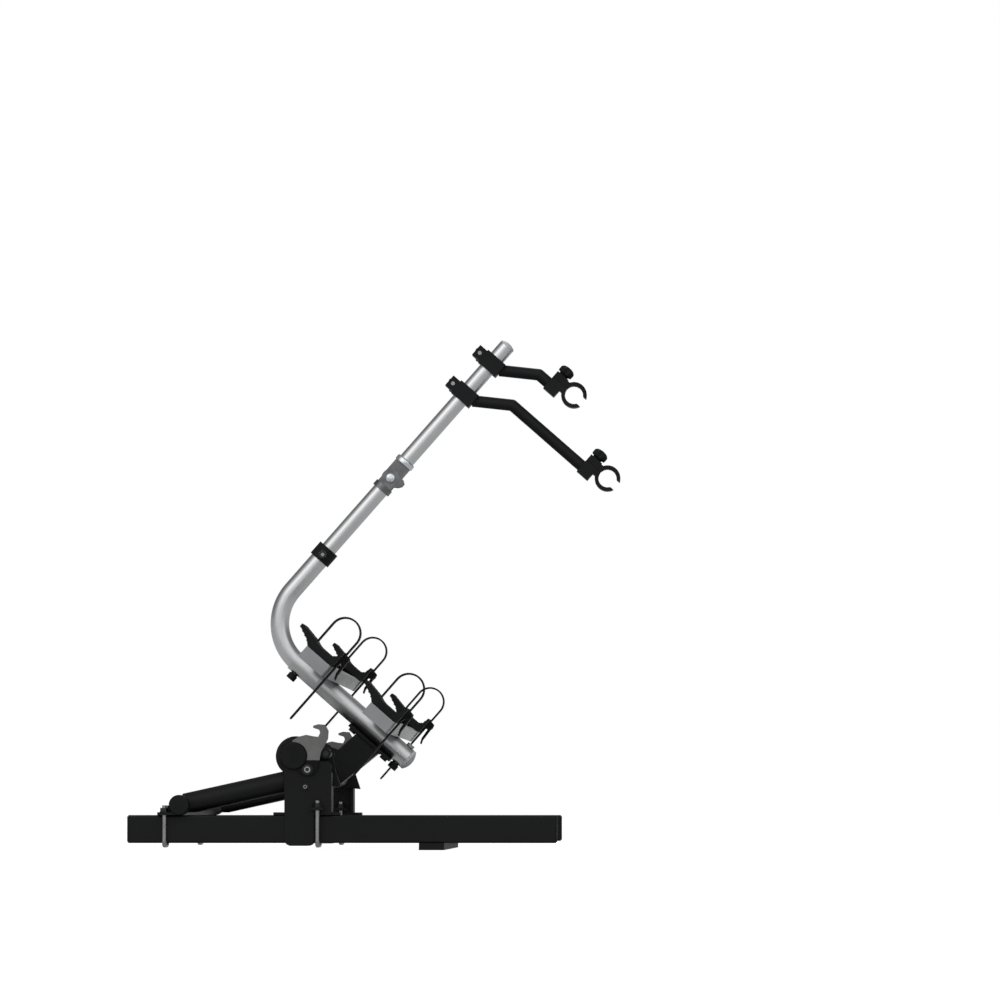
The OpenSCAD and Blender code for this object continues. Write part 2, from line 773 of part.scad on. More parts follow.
cheek_in = 9.2;
cheek_out = 16;
knuckle_r = 17;
hinge_bolt_r = 5;
ring_z = 35;
tongue_half = cheek_in - side_gap;

// Fork of the post's hinge, with its ear towards the bikes
module hinge_fork() {
  color("#303135") tilted() translate([-post_x, 0, hinge_z]) difference() {
    union() {
      translate([0, 0, -29]) cylinder(r = knuckle_r + 1.5, h = 11.7);
      for (k = [-1, 1]) along_y(k * (cheek_in + cheek_out) / 2, cheek_out - cheek_in) {
        circle(r = knuckle_r);
        translate([-knuckle_r + 2, -18]) square([2 * knuckle_r - 4, 18]);
        polygon([[8, -14], [22, -4], [26, 2], [26, 9], [20, 13], [8, 14]]);
      }
    }
    translate([0, 0, -30]) cylinder(r = inner_r, h = 9);
    rod_y(hinge_bolt_r + run_gap, 60);
  }
}

module hinge_bolt() {
  color("#b9bcbf") tilted() translate([-post_x, 0, hinge_z]) {
    rod_y(hinge_bolt_r, 2 * cheek_out + 12);
    translate([0, -cheek_out, 0]) rotate([90, 0, 0]) cylinder(r = 8.5, h = 5.5);
    translate([0, cheek_out, 0]) rotate([-90, 0, 0]) cylinder(r = 8.5, h = 5, $fn = 6);
  }
}

module hinge_tongue() {
  color("#303135") tilted() translate([-post_x, 0, hinge_z]) difference() {
    union() {
      along_y(0, 2 * tongue_half) {
        circle(r = knuckle_r - 0.5);
        translate([0.5 - knuckle_r, 0]) square([2 * knuckle_r - 1, ring_z + 1]);
      }
      translate([0, 0, ring_z]) cylinder(r = knuckle_r + 1.5, h = 10);
    }
    rod_y(hinge_bolt_r + run_gap, 60);
    translate([0, 0, ring_z + 2]) cylinder(r = inner_r, h = 20);
  }
}

module upper_tube() {
  start = hinge_z + ring_z + 2;
  color("#c9ccce") tilted() translate([-post_x, 0, start]) difference() {
    cylinder(r = inner_r, h = upper_top - 5 - start);
    translate([0, 0, -1]) cylinder(r = inner_r - inner_wall, h = upper_top);
  }
}

module top_cap() {
  color("#d5d7d9") tilted() translate([-post_x, 0, upper_top - 5]) {
    intersection() {
      cylinder(r = inner_r, h = 8);
      translate([0, 0, 7 - 1.8 * inner_r]) sphere(r = 1.8 * inner_r);
    }
    translate([0, 0, -10]) cylinder(r = inner_r - inner_wall - bolt_gap, h = 11);
  }
}

arm_rise = 35;
arm_crank = 75;
crank_x = 20 + arm_crank * cos(arm_rise);
crank_z = arm_crank * sin(arm_rise);
jaw_out = jaw_r + jaw_wall;
block_x0 = -jaw_out - 28;
block_x1 = -jaw_out - 2;
screw_x = (block_x0 + block_x1) / 2;
clamp_half = 19;
jaw_drop = 14;

// Half of a jaw, below the middle when k is -1 and above it when k is 1
module claw(k) {
  along_y(0, jaw_w) difference() {
    union() {
      circle(r = jaw_out);
      translate([block_x1 - 1, min(0, k * 12)]) square([8, 12]);
    }
    circle(r = jaw_r);
    translate([-60, k > 0 ? -60 + side_gap : 0]) square([120, 60]);
    translate([10, k > 0 ? 0 : -9]) square([60, 9]);
  }
}

// A frame holder with its clamp on the post, crank and fixed jaw
module arm(z, reach) {
  jaw_x = -post_x + reach;
  jaw_z = z + crank_z + jaw_drop;
  start = 19;
  tilted() difference() {
    union() {
      translate([-post_x, 0, z]) {
        slab(-21, 22, -clamp_half, clamp_half, -15, 15);
        slab(-38, -20, -clamp_half, clamp_half, -12, 12);
        difference() {
          translate([start, 0, 0]) rotate([0, 90 - arm_rise, 0])
            cylinder(r = arm_r, h = arm_crank);
          slab(-30, start, -20, 20, -30, 30);
        }
        translate([crank_x - 1, 0, crank_z]) sphere(r = arm_r);
      }
      translate([-post_x + crank_x - 1, 0, z + crank_z]) rotate([0, 90, 0])
        cylinder(r = arm_r, h = reach - crank_x + 2 + block_x0);
      translate([jaw_x, 0, jaw_z]) {
        slab(block_x0, block_x1, -jaw_w / 2, jaw_w / 2, -2 * jaw_drop, 0);
        claw(-1);
      }
    }
    translate([-post_x, 0, z - 30]) cylinder(r = sleeve_r, h = 60);
    translate([-post_x, 0, z]) {
      slab(-50, -10, -1.5, 1.5, -30, 30);
      rod_y(4 + bolt_gap, 80, -29);
    }
    translate([jaw_x + screw_x, 0, jaw_z - 40]) cylinder(r = 4 + bolt_gap, h = 60);
  }
}

// The moving upper jaw of a frame holder
module jaw(z, reach) {
  tilted() translate([-post_x + reach, 0, z + crank_z + jaw_drop]) difference() {
    union() {
      slab(block_x0, block_x1, -jaw_w / 2, jaw_w / 2, side_gap, jaw_drop);
      claw(1);
    }
    translate([screw_x, 0, -1]) cylinder(r = 4 + run_gap, h = 60);
  }
}

// Knob of a jaw, its screw reaching down through both jaws
module jaw_knob(z, reach) {
  tilted() translate([-post_x + reach + screw_x, 0, z + crank_z + jaw_drop]) {
    translate([0, 0, jaw_drop + side_gap]) cylinder(r = 15, h = 14);
    translate([0, 0, jaw_drop + 14]) cylinder(r = 11, h = 5);
    translate([0, 0, -24]) cylinder(r = 4, h = 40);
  }
}

// Knob of an arm's clamp, its screw along Y
module clamp_knob(z) {
  tilted() translate([-post_x - 29, clamp_half + side_gap, z]) rotate([-90, 0, 0]) {
    cylinder(r = 14, h = 13);
    translate([0, 0, 12]) cylinder(r = 10, h = 5);
    translate([0, 0, -2 * clamp_half]) cylinder(r = 4, h = 2 * clamp_half + 1);
  }
}

module short_arm() {
  color("#202124") arm(short_z, short_reach);
}

module short_jaw() {
  color("#17181a") jaw(short_z, short_reach);
}

module short_clamp_knob() {
  color("#141517") clamp_knob(short_z);
}

module short_jaw_knob() {
  color("#141517") jaw_knob(short_z, short_reach);
}

module long_arm() {
  color("#202124") arm(long_z, long_reach);
}

module long_jaw() {
  color("#17181a") jaw(long_z, long_reach);
}

module long_clamp_knob() {
  color("#141517") clamp_knob(long_z);
}

module long_jaw_knob() {
  color("#141517") jaw_knob(long_z, long_reach);
}

// Coordinates of a wheel holder, its zero at the top of the rail
module at_holder(x, side) {
  tilted() translate([x, side * holder_y, rail_lip_top]) children();
}

wing_x = wheel_rail_w / 2 + 3;
wing_in = wing_x - 3.5;
wing_z = 34;
horn_x = 60;
lever_x = wing_x + 8;
lever_z = 24;
lever_r = 4.4;
pin_r = 2.5;
strap_slot = strap_w / 2 + side_gap;

// Wheel holder with its cup, the ears of the buckle and the key in the rail
module holder(x, side) {
  base_half = wheel_rail_w / 2;
  key_half = base_half - wheel_rail_wall - side_gap;
  color("#18191b") at_holder(x, side) difference() {
    union() {
      along_y(0, holder_len) polygon([[-base_half, side_gap], [base_half, side_gap],
        [wing_x, 6], [wing_x, wing_z - 2], [wing_x - 1.5, wing_z], [wing_in, wing_z],
        [wing_in - 3, 20], [18, 15.5], [10, 14], [-10, 14], [-18, 15.5], [-26, 19],
        [4 - horn_x, 24], [-horn_x, 24], [-horn_x, 18], [-36, 8]]);
      along_y(0, holder_len - 30) translate([side_gap - slot_half, -wheel_rail_wall - 1])
        square([2 * (slot_half - side_gap), wheel_rail_wall + 2]);
      along_y(0, holder_len - 30) translate([-key_half, -wheel_rail_wall - side_gap - 4])
        square([2 * key_half, 4]);
      for (k = [-1, 1]) along_y(k * (strap_slot + 2), 4)
        polygon([[wing_x - 1, 14], [lever_x + 4, 17], [lever_x + 5, lever_z],
          [lever_x + 3, 31], [wing_x - 1, 33]]);
    }
    rod_y(pin_r + run_gap, 60, lever_x, 0, lever_z);
    slab(-24.3, -20.7, -strap_slot, strap_slot, 8.7, 30);
  }
}

module holder_1() {
  holder(front_rail_x, -1);
}

module holder_2() {
  holder(rear_rail_x, -1);
}

module holder_3() {
  holder(front_rail_x, 1);
}

module holder_4() {
  holder(rear_rail_x, 1);
}

// Strap from its pocket over the wheel to the buckle, with its hanging tail
module strap(x, side) {
  left = -24;
  right = wing_x + strap_t;
  mid = (left + right) / 2;
  out = (right - left) / 2;
  spring = strap_rise;
  color("#101113") at_holder(x, side) along_y(0, strap_w) {
    translate([left, 9]) square([strap_t, spring - 9]);
    translate([right - strap_t, 14 - strap_tail]) square([strap_t, spring - 14 + strap_tail]);
    translate([mid, spring]) difference() {
      circle(r = out);
      circle(r = out - strap_t);
      translate([-2 * out, -2 * out]) square([4 * out, 2 * out]);
    }
  }
}

module strap_1() {
  strap(front_rail_x, -1);
}

module strap_2() {
  strap(rear_rail_x, -1);
}

module strap_3() {
  strap(front_rail_x, 1);
}

module strap_4() {
  strap(rear_rail_x, 1);
}

// Ratchet lever of a buckle, hanging beside the strap
module buckle(x, side) {
  half = strap_slot - side_gap;
  color("#2a2b2e") at_holder(x, side) {
    along_y(0, 2 * half) {
      translate([lever_x, lever_z]) circle(r = lever_r);
      polygon([[lever_x - 1.5, lever_z], [lever_x + 4, lever_z], [lever_x + 6, -6],
        [lever_x + 9, -14], [lever_x + 6, -14], [lever_x + 1.5, -4]]);
    }
    rod_y(pin_r, 2 * strap_slot + 7, lever_x, 0, lever_z);
  }
}

module buckle_1() {
  buckle(front_rail_x, -1);
}

module buckle_2() {
  buckle(rear_rail_x, -1);
}

module buckle_3() {
  buckle(front_rail_x, 1);
}

module buckle_4() {
  buckle(rear_rail_x, 1);
}

base_rail_near();
base_rail_far();
rail_end_caps();
cross_plate();
cross_plate_bolts();
bracket_near();
bracket_far();
u_bolts();
u_bolt_nuts();
pivot_tube();
pivot_tube_caps();
struts();
front_cross_tube();
front_tube_caps();
hook_plates();
hook_bolts();
side_plate_near();
side_plate_far();
pivot_bushes();
tilt_cross_tube();
tilt_arm();
arm_flange_bolts();
spine_tube();
spine_end_cap();
bend_tube();
frame_fasteners();
spine_knobs();
wheel_rail_front();
wheel_rail_rear();
wheel_rail_end_caps();
collar();
latch_housings();
latch_bolt_near();
latch_bolt_far();
inner_tube();
hinge_fork();
hinge_bolt();
upper_tube();
hinge_tongue();
top_cap();
short_arm();
short_jaw();
short_clamp_knob();
short_jaw_knob();
long_arm();
long_jaw();
long_clamp_knob();
long_jaw_knob();
holder_1();
holder_2();
holder_3();
holder_4();
strap_1();
strap_2();
strap_3();
strap_4();
buckle_1();
buckle_2();
buckle_3();
buckle_4();
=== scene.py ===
import json
import math

import bmesh
import bpy
from mathutils import Matrix, Vector


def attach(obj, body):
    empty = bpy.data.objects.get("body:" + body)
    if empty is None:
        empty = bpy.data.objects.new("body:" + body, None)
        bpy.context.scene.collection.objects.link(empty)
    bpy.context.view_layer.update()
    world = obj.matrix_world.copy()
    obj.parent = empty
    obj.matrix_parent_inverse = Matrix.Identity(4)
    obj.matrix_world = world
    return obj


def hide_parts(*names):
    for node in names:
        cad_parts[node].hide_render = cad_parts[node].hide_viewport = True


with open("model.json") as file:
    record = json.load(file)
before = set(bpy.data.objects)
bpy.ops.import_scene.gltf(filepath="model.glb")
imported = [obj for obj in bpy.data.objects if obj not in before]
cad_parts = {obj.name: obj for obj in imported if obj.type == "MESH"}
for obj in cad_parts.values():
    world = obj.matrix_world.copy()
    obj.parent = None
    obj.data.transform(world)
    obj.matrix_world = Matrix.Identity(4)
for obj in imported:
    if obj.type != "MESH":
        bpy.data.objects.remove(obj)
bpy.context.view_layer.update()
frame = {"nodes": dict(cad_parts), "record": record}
nodes = frame["nodes"]
print("frame loaded:", len(nodes), "nodes")

mm = 0.001
carrier = {  # metres; x and z count from the tilt axis, square to the tilting frame
    "axisX": -0.246, "axisZ": 0.168,  # the tilt axis itself, over the base rails
    "tilt": math.radians(41.3),
    "railY": 0.400,
    "postX": -0.229,
    "wheelRailFrontX": -0.074, "wheelRailRearX": 0.076,
    "holderY": 0.530,
    "lipTop": 0.166,
}
axisPoint = Vector((carrier["axisX"], 0, carrier["axisZ"]))
tiltTurn = Matrix.Rotation(carrier["tilt"], 4, "Y")
tiltPlace = Matrix.Translation(axisPoint) @ tiltTurn


def tiltPoint(x, y, z):
    return tiltPlace @ Vector((x, y, z))


def linearColor(code):
    def channel(v):
        return v / 12.92 if v <= 0.04045 else ((v + 0.055) / 1.055) ** 2.4
    return tuple(channel(int(code[i:i + 2], 16) / 255) for i in (1, 3, 5)) + (1.0,)


def addNode(tree, kind, values=None, links=None):
    node = tree.nodes.new(kind)
    for name, value in (values or {}).items():
        if isinstance(name, str) and hasattr(node, name):
            setattr(node, name, value)
        else:
            node.inputs[name].default_value = value
    for name, socket in (links or {}).items():
        tree.links.new(socket, node.inputs[name])
    return node


def newMaterial(name, base, metallic, rough):
    material = bpy.data.materials.new(name)
    material.use_nodes = True
    tree = material.node_tree
    shader = tree.nodes["Principled BSDF"]
    shader.inputs["Base Color"].default_value = linearColor(base)
    shader.inputs["Metallic"].default_value = metallic
    shader.inputs["Roughness"].default_value = rough
    coords = addNode(tree, "ShaderNodeTexCoord")
    return material, tree, shader, coords.outputs["Object"]


def patternScale(size):  # from a pattern's real size in millimetres
    return 1 / (size * mm)


def dressSurface(tree, shader, colors, rough, sizes, patches, gloss, relief):
    # two shades in soft patches, duller and glossier places, and the fine relief of the finish
    shades = addNode(tree, "ShaderNodeValToRGB", None, {"Fac": patches})
    for element, stop, code in zip(shades.color_ramp.elements, (0.3, 0.7), colors):
        element.position = stop
        element.color = linearColor(code)
    band = addNode(tree, "ShaderNodeMapRange",
                   {"To Min": rough - sizes["glossier"], "To Max": rough + sizes["duller"]},
                   {"Value": gloss})
    bump = addNode(tree, "ShaderNodeBump",
                   {"Strength": sizes["bump"], "Distance": sizes["depth"] * mm},
                   {"Height": relief})
    tree.links.new(shades.outputs["Color"], shader.inputs["Base Color"])
    tree.links.new(band.outputs["Result"], shader.inputs["Roughness"])
    tree.links.new(bump.outputs["Normal"], shader.inputs["Normal"])


powder = {"peel": 2.381, "patch": 111.1, "glossier": 0.06, "duller": 0.08, "bump": 0.16,
          "depth": 0.4, "shine": 0.17}


def powderCoat(name, base, patch, rough):
    # polyester powder baked on steel: soft sheen, and orange peel about 2 mm from crest to crest
    material, tree, shader, coords = newMaterial(name, base, 0.0, rough)
    peel = addNode(tree, "ShaderNodeTexNoise",
                   {"Scale": patternScale(powder["peel"]), "Detail": 2.0}, {"Vector": coords})
    cloud = addNode(tree, "ShaderNodeTexNoise",
                    {"Scale": patternScale(powder["patch"]), "Detail": 5.0}, {"Vector": coords})
    dressSurface(tree, shader, (base, patch), rough, powder, cloud.outputs["Fac"],
                 cloud.outputs["Fac"], peel.outputs["Fac"])
    shader.inputs["Specular IOR Level"].default_value = powder["shine"]
    return material


drawn = {"lineWidth": 1.111, "lineLength": 111.1, "patch": 71.43, "glossier": 0.04,
         "duller": 0.06, "bump": 0.01, "depth": 0.1, "bright": "#c9cacb"}


def anodised(name, base, along, rough):
    # satin anodised aluminium, drawn through a die: lines along its length, really about
    # 0.05 mm wide and drawn 1.1 mm wide, so that they show
    material, tree, shader, coords = newMaterial(name, base, 1.0, rough)
    turn = addNode(tree, "ShaderNodeMapping", {"Rotation": (0, -carrier["tilt"], 0)},
                   {"Vector": coords})
    stretch = [patternScale(drawn["lineWidth"])] * 3
    stretch["XYZ".index(along)] = patternScale(drawn["lineLength"])
    pull = addNode(tree, "ShaderNodeMapping", {"Scale": stretch},
                   {"Vector": turn.outputs["Vector"]})
    lines = addNode(tree, "ShaderNodeTexNoise", {"Scale": 1.0, "Detail": 3.0},
                    {"Vector": pull.outputs["Vector"]})
    cloud = addNode(tree, "ShaderNodeTexNoise",
                    {"Scale": patternScale(drawn["patch"]), "Detail": 3.0}, {"Vector": coords})
    mixed = addNode(tree, "ShaderNodeMath", {"operation": "ADD"},
                    {0: lines.outputs["Fac"], 1: cloud.outputs["Fac"]})
    half = addNode(tree, "ShaderNodeMath", {"operation": "MULTIPLY", 1: 0.5},
                   {0: mixed.outputs["Value"]})
    dressSurface(tree, shader, (base, drawn["bright"]), rough, drawn, half.outputs["Value"],
                 cloud.outputs["Fac"], lines.outputs["Fac"])
    return material


zinc = {"patch": 18.18, "spangle": 3.846, "glossier": 0.08, "duller": 0.12, "bump": 0.05,
        "depth": 0.2}


def zincPlate(name, base, tint, rough):
    # electroplated steel: cool grey with faint clouds of the passivation, and a light mottle,
    # which is finer on the real plate and drawn 4 mm wide
    material, tree, shader, coords = newMaterial(name, base, 1.0, rough)
    cloud = addNode(tree, "ShaderNodeTexNoise",
                    {"Scale": patternScale(zinc["patch"]), "Detail": 4.0}, {"Vector": coords})
    spangle = addNode(tree, "ShaderNodeTexVoronoi",
                      {"Scale": patternScale(zinc["spangle"])}, {"Vector": coords})
    dressSurface(tree, shader, (base, tint), rough, zinc, cloud.outputs["Fac"],
                 cloud.outputs["Fac"], spangle.outputs["Distance"])
    return material


moulding = {"patch": 45.45, "glossier": 0.05, "duller": 0.07, "bump": 0.12, "depth": 0.3,
            "ior": 1.49}


def mouldedPlastic(name, base, patch, rough, grain, shine=0.14):
    # injection moulded: the grain of a spark eroded mould, really 0.2 mm and drawn 1 to 2 mm
    material, tree, shader, coords = newMaterial(name, base, 0.0, rough)
    spark = addNode(tree, "ShaderNodeTexVoronoi", {"Scale": patternScale(grain)},
                    {"Vector": coords})
    cloud = addNode(tree, "ShaderNodeTexNoise",
                    {"Scale": patternScale(moulding["patch"]), "Detail": 4.0},
                    {"Vector": coords})
    dressSurface(tree, shader, (base, patch), rough, moulding, cloud.outputs["Fac"],
                 cloud.outputs["Fac"], spark.outputs["Distance"])
    shader.inputs["IOR"].default_value = moulding["ior"]
    shader.inputs["Specular IOR Level"].default_value = shine
    return material


tumbled = {"metallic": 0.92, "dent": 2.083, "patch": 16.67, "glossier": 0.08, "duller": 0.12,
           "bump": 0.14, "depth": 0.3}


def castAluminium(name, base, patch, rough):
    # die cast and tumbled: shallow dents about 2 mm wide and a dull sheen
    material, tree, shader, coords = newMaterial(name, base, tumbled["metallic"], rough)
    dents = addNode(tree, "ShaderNodeTexVoronoi", {"Scale": patternScale(tumbled["dent"])},
                    {"Vector": coords})
    cloud = addNode(tree, "ShaderNodeTexNoise",
                    {"Scale": patternScale(tumbled["patch"]), "Detail": 5.0},
                    {"Vector": coords})
    dressSurface(tree, shader, (base, patch), rough, tumbled, cloud.outputs["Fac"],
                 cloud.outputs["Fac"], dents.outputs["Distance"])
    return material


dip = {"level": 160.5, "edge": 0.8, "waviness": 1.6, "wave": 11.11, "paint": "#0a0b0b",
       "shine": 0.12}


def dipped(material):  # black paint up to a wavy level, the plated metal above it
    tree = material.node_tree
    shader = tree.nodes["Principled BSDF"]
    coords = addNode(tree, "ShaderNodeTexCoord")
    ripple = addNode(tree, "ShaderNodeTexNoise", {"Scale": patternScale(dip["wave"])},
                     {"Vector": coords.outputs["Object"]})
    split = addNode(tree, "ShaderNodeSeparateXYZ", None, {"Vector": coords.outputs["Object"]})
    wave = addNode(tree, "ShaderNodeMath",
                   {"operation": "MULTIPLY_ADD", 1: dip["waviness"] * mm},
                   {0: ripple.outputs["Fac"], 2: split.outputs["Z"]})
    above = addNode(tree, "ShaderNodeMapRange",
                    {"From Min": dip["level"] * mm, "From Max": (dip["level"] + dip["edge"]) * mm},
                    {"Value": wave.outputs["Value"]})
    plated = shader.inputs["Base Color"].links[0].from_socket
    both = addNode(tree, "ShaderNodeMix",  # a colour mix: 6 and 7 are its A and B, 2 its result
                   {"data_type": "RGBA"})
    both.inputs[6].default_value = linearColor(dip["paint"])
    tree.links.new(above.outputs["Result"], both.inputs[0])
    tree.links.new(plated, both.inputs[7])
    tree.links.new(both.outputs[2], shader.inputs["Base Color"])
    tree.links.new(above.outputs["Result"], shader.inputs["Metallic"])
    shader.inputs["Specular IOR Level"].default_value = dip["shine"]


# each finish: its colour, the colour of its patches or the way its lines run, its roughness,
# and for plastics the grain in millimetres and the shine where it isn't the usual one
finishes = {
    "baseSteel": powderCoat("PowderCoatedSteel", "#0a0b0b", "#101111", 0.5),
    "tiltSteel": powderCoat("PowderCoatedArm", "#0f1010", "#161718", 0.35),
    "castBlack": mouldedPlastic("PaintedCasting", "#111213", "#18191b", 0.46, 2.2),
    "post": anodised("AnodisedPost", "#bdbebf", "Z", 0.33),
    "spine": anodised("AnodisedSpine", "#b2b3b4", "X", 0.33),
    "rail": anodised("AnodisedRail", "#a6a7a8", "Y", 0.42),
    "zinc": zincPlate("ZincPlatedSteel", "#838586", "#949491", 0.27),
    "dullZinc": zincPlate("DullZincSteel", "#a0a2a3", "#adada9", 0.48),
    # the hook plates' zinc is a darker copy of the plated zinc; its darker base colour is painted
    # shade
    "hookZinc": zincPlate("ZincPlatedHook", "#646565", "#737471", 0.42),
    "casting": castAluminium("TumbledCasting", "#606264", "#77797b", 0.36),
    "polished": castAluminium("PolishedRing", "#c6cacd", "#d2d5d8", 0.18),
    "darkSteel": zincPlate("BlackOxideSteel", "#2c2d2e", "#3b3c3d", 0.42),
    "plug": mouldedPlastic("MouldedGreyPlug", "#8b8d8f", "#97999b", 0.45, 1.2, 0.4),
    "plastic": mouldedPlastic("MouldedNylonBlack", "#0f1011", "#161719", 0.52, 1.1),
    "strap": mouldedPlastic("MouldedStrap", "#0b0c0d", "#131415", 0.45, 1.6),
    "cap": mouldedPlastic("MouldedGreyCap", "#b4b8bb", "#c4c7ca", 0.38, 1.2, 0.5),
    "nylon": mouldedPlastic("GreasedNylon", "#1d1d1e", "#29292a", 0.42, 1.4),
    "rubber": mouldedPlastic("JawRubber", "#0c0c0d", "#161617", 0.78, 0.9),
}
dipped(finishes["hookZinc"])
print("finishes made:", len(finishes))

# the nodes of each finish, by their names or how these start; the first that fits counts, and
# a node that none fits is powder coated steel
finishStarts = {
    "zinc": ("u_bolts", "frame_fasteners", "hinge_bolt", "cross_plate_bolts"),
    "plug": ("wheel_rail_end_caps",),
    "hookZinc": ("hook_plates",),
    "darkSteel": ("arm_flange_bolts", "hook_bolts", "u_bolt_nuts", "latch_bolt_"),
    "post": ("bend_tube", "inner_tube", "upper_tube"),
    "spine": ("spine_tube",),
    "rail": ("wheel_rail_front", "wheel_rail_rear"),
    "tiltSteel": ("side_plate_", "tilt_cross_tube", "tilt_arm", "latch_housings"),
    "cap": ("spine_end_cap", "top_cap"),
    "nylon": ("pivot_bushes",),
    "casting": ("hinge_fork", "hinge_tongue"),
    "castBlack": ("short_arm", "long_arm"),
    "strap": ("strap_",),
    "plastic": ("rail_end_caps", "pivot_tube_caps", "front_tube_caps", "spine_knobs", "collar",
                "holder_", "buckle_", "short_", "long_"),
}
for name in nodes:
    finish = next((key for key, starts in finishStarts.items() if name.startswith(starts)),
                  "baseSteel")
    nodes[name].data.materials.clear()
    nodes[name].data.materials.append(finishes[finish])
print("nodes given their finish:", len(nodes))

bodyOf = {name: body for body, names in frame["record"]["behaviour"]["bodies"].items()
          for name in names}


def newPiece(name, mesh, body, finish):
    piece = bpy.data.objects.new(name, mesh)
    bpy.context.scene.collection.objects.link(piece)
    mesh.materials.append(finishes[finish])
    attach(piece, body)
    return piece


def settled(piece):  # turns the evaluated piece into a plain mesh
    bpy.context.view_layer.update()
    graph = bpy.context.evaluated_depsgraph_get()
    mesh = bpy.data.meshes.new_from_object(piece.evaluated_get(graph), depsgraph=graph)
    piece.modifiers.clear()
    piece.data = mesh
    return mesh


softening = {"merge": 0.02, "flat": 1.0, "corner": 38, "steps": 2}  # millimetres and degrees


def softenEdges(nodeName, width):  # the same piece with the small radii of the real one
    mesh = nodes[nodeName].data.copy()
    shape = bmesh.new()
    shape.from_mesh(mesh)
    bmesh.ops.remove_doubles(shape, verts=shape.verts, dist=softening["merge"] * mm)
    bmesh.ops.dissolve_limit(shape, angle_limit=math.radians(softening["flat"]),
                             verts=shape.verts, edges=shape.edges)
    for face in shape.faces:
        face.smooth = True
    shape.to_mesh(mesh)
    shape.free()
    piece = bpy.data.objects.new(nodeName + "_finished", mesh)
    bpy.context.scene.collection.objects.link(piece)
    bevel = piece.modifiers.new("edges", "BEVEL")
    bevel.limit_method = "ANGLE"
    bevel.angle_limit = math.radians(softening["corner"])
    bevel.width = width * mm
    bevel.segments = softening["steps"]
    bevel.use_clamp_overlap = True
    piece.modifiers.new("shading", "WEIGHTED_NORMAL").keep_sharp = True
    settled(piece)
    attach(piece, bodyOf[nodeName])
    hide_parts(nodeName)


edgeRadii = {  # millimetres
    "base_rail_near": 0.8, "base_rail_far": 0.8, "cross_plate": 1.0, "bracket_near": 1.2,
    "bracket_far": 1.2, "hook_plates": 0.7, "side_plate_near": 0.9, "side_plate_far": 0.9,
    "tilt_arm": 1.4, "pivot_tube_caps": 0.9, "front_tube_caps": 0.8, "rail_end_caps": 1.0,
    "spine_knobs": 1.2, "collar": 1.0, "hinge_fork": 0.9, "hinge_tongue": 0.9,
    "short_arm": 1.4, "long_arm": 1.4, "short_jaw": 1.2, "long_jaw": 1.2,
    "wheel_rail_front": 0.35, "wheel_rail_rear": 0.35, "wheel_rail_end_caps": 0.9,
    "holder_1": 1.0, "holder_2": 1.0, "holder_3": 1.0, "holder_4": 1.0,
    "buckle_1": 0.8, "buckle_2": 0.8, "buckle_3": 0.8, "buckle_4": 0.8,
    "u_bolt_nuts": 0.4, "hook_bolts": 0.5, "arm_flange_bolts": 0.5,
    "frame_fasteners": 0.4, "hinge_bolt": 0.6, "latch_housings": 0.5,
    "latch_bolt_near": 1.0, "latch_bolt_far": 1.0, "strap_1": 0.5, "strap_2": 0.5,
    "strap_3": 0.5, "strap_4": 0.5,
    "pivot_tube": 0.4, "struts": 0.4, "front_cross_tube": 0.4, "tilt_cross_tube": 0.4,
    "spine_tube": 0.4, "bend_tube": 0.4, "inner_tube": 0.4, "upper_tube": 0.4, "u_bolts": 0.4,
    "spine_end_cap": 0.4, "top_cap": 0.4, "pivot_bushes": 0.4, "cross_plate_bolts": 0.4,
}
for name, radius in edgeRadii.items():
    softenEdges(name, radius)
print("edges softened:", len(edgeRadii))


def growTree(name, sizes):  # an empty tree with one named input for each size
    tree = bpy.data.node_groups.new(name, "GeometryNodeTree")
    tree.interface.new_socket("Path", in_out="INPUT", socket_type="NodeSocketGeometry")
    for label in sizes:
        tree.interface.new_socket(label, in_out="INPUT", socket_type="NodeSocketFloat")
    tree.interface.new_socket("Geometry", in_out="OUTPUT", socket_type="NodeSocketGeometry")
    entry = addNode(tree, "NodeGroupInput")
    leave = addNode(tree, "NodeGroupOutput")
    return tree, entry, leave


def closeTree(tree, leave, geometry, finish):
    real = addNode(tree, "GeometryNodeRealizeInstances", None, {"Geometry": geometry})
    dress = addNode(tree, "GeometryNodeSetMaterial", {"Material": finishes[finish]},
                    {"Geometry": real.outputs["Geometry"]})
    tree.links.new(dress.outputs["Geometry"], leave.inputs["Geometry"])


def alongPath(tree, entry, pivot):  # evenly spaced points of the path and how it runs at each
    curve = addNode(tree, "GeometryNodeMeshToCurve", None, {"Mesh": entry.outputs["Path"]})
    spaced = addNode(tree, "GeometryNodeResampleCurve", {"mode": "LENGTH"},
                     {"Curve": curve.outputs["Curve"], "Length": entry.outputs["Spacing"]})
    tangent = addNode(tree, "GeometryNodeInputTangent")
    lean = addNode(tree, "FunctionNodeAlignRotationToVector",
                   {"axis": "X" if pivot == "Y" else "Z", "pivot_axis": pivot},
                   {"Vector": tangent.outputs["Tangent"]})
    return spaced.outputs["Curve"], lean.outputs["Rotation"]


def barTree(name, finish):  # bars laid across a path, their long side along Y
    tree, entry, leave = growTree(name, ("Spacing", "Bar length", "Bar width", "Bar height"))
    curve, rotation = alongPath(tree, entry, "Y")
    size = addNode(tree, "ShaderNodeCombineXYZ", None,
                   {"X": entry.outputs["Bar width"], "Y": entry.outputs["Bar length"],
                    "Z": entry.outputs["Bar height"]})
    bar = addNode(tree, "GeometryNodeMeshCube", None, {"Size": size.outputs["Vector"]})
    laid = addNode(tree, "GeometryNodeInstanceOnPoints", None,
                   {"Points": curve, "Instance": bar.outputs["Mesh"], "Rotation": rotation})
    closeTree(tree, leave, laid.outputs["Instances"], finish)
    return tree


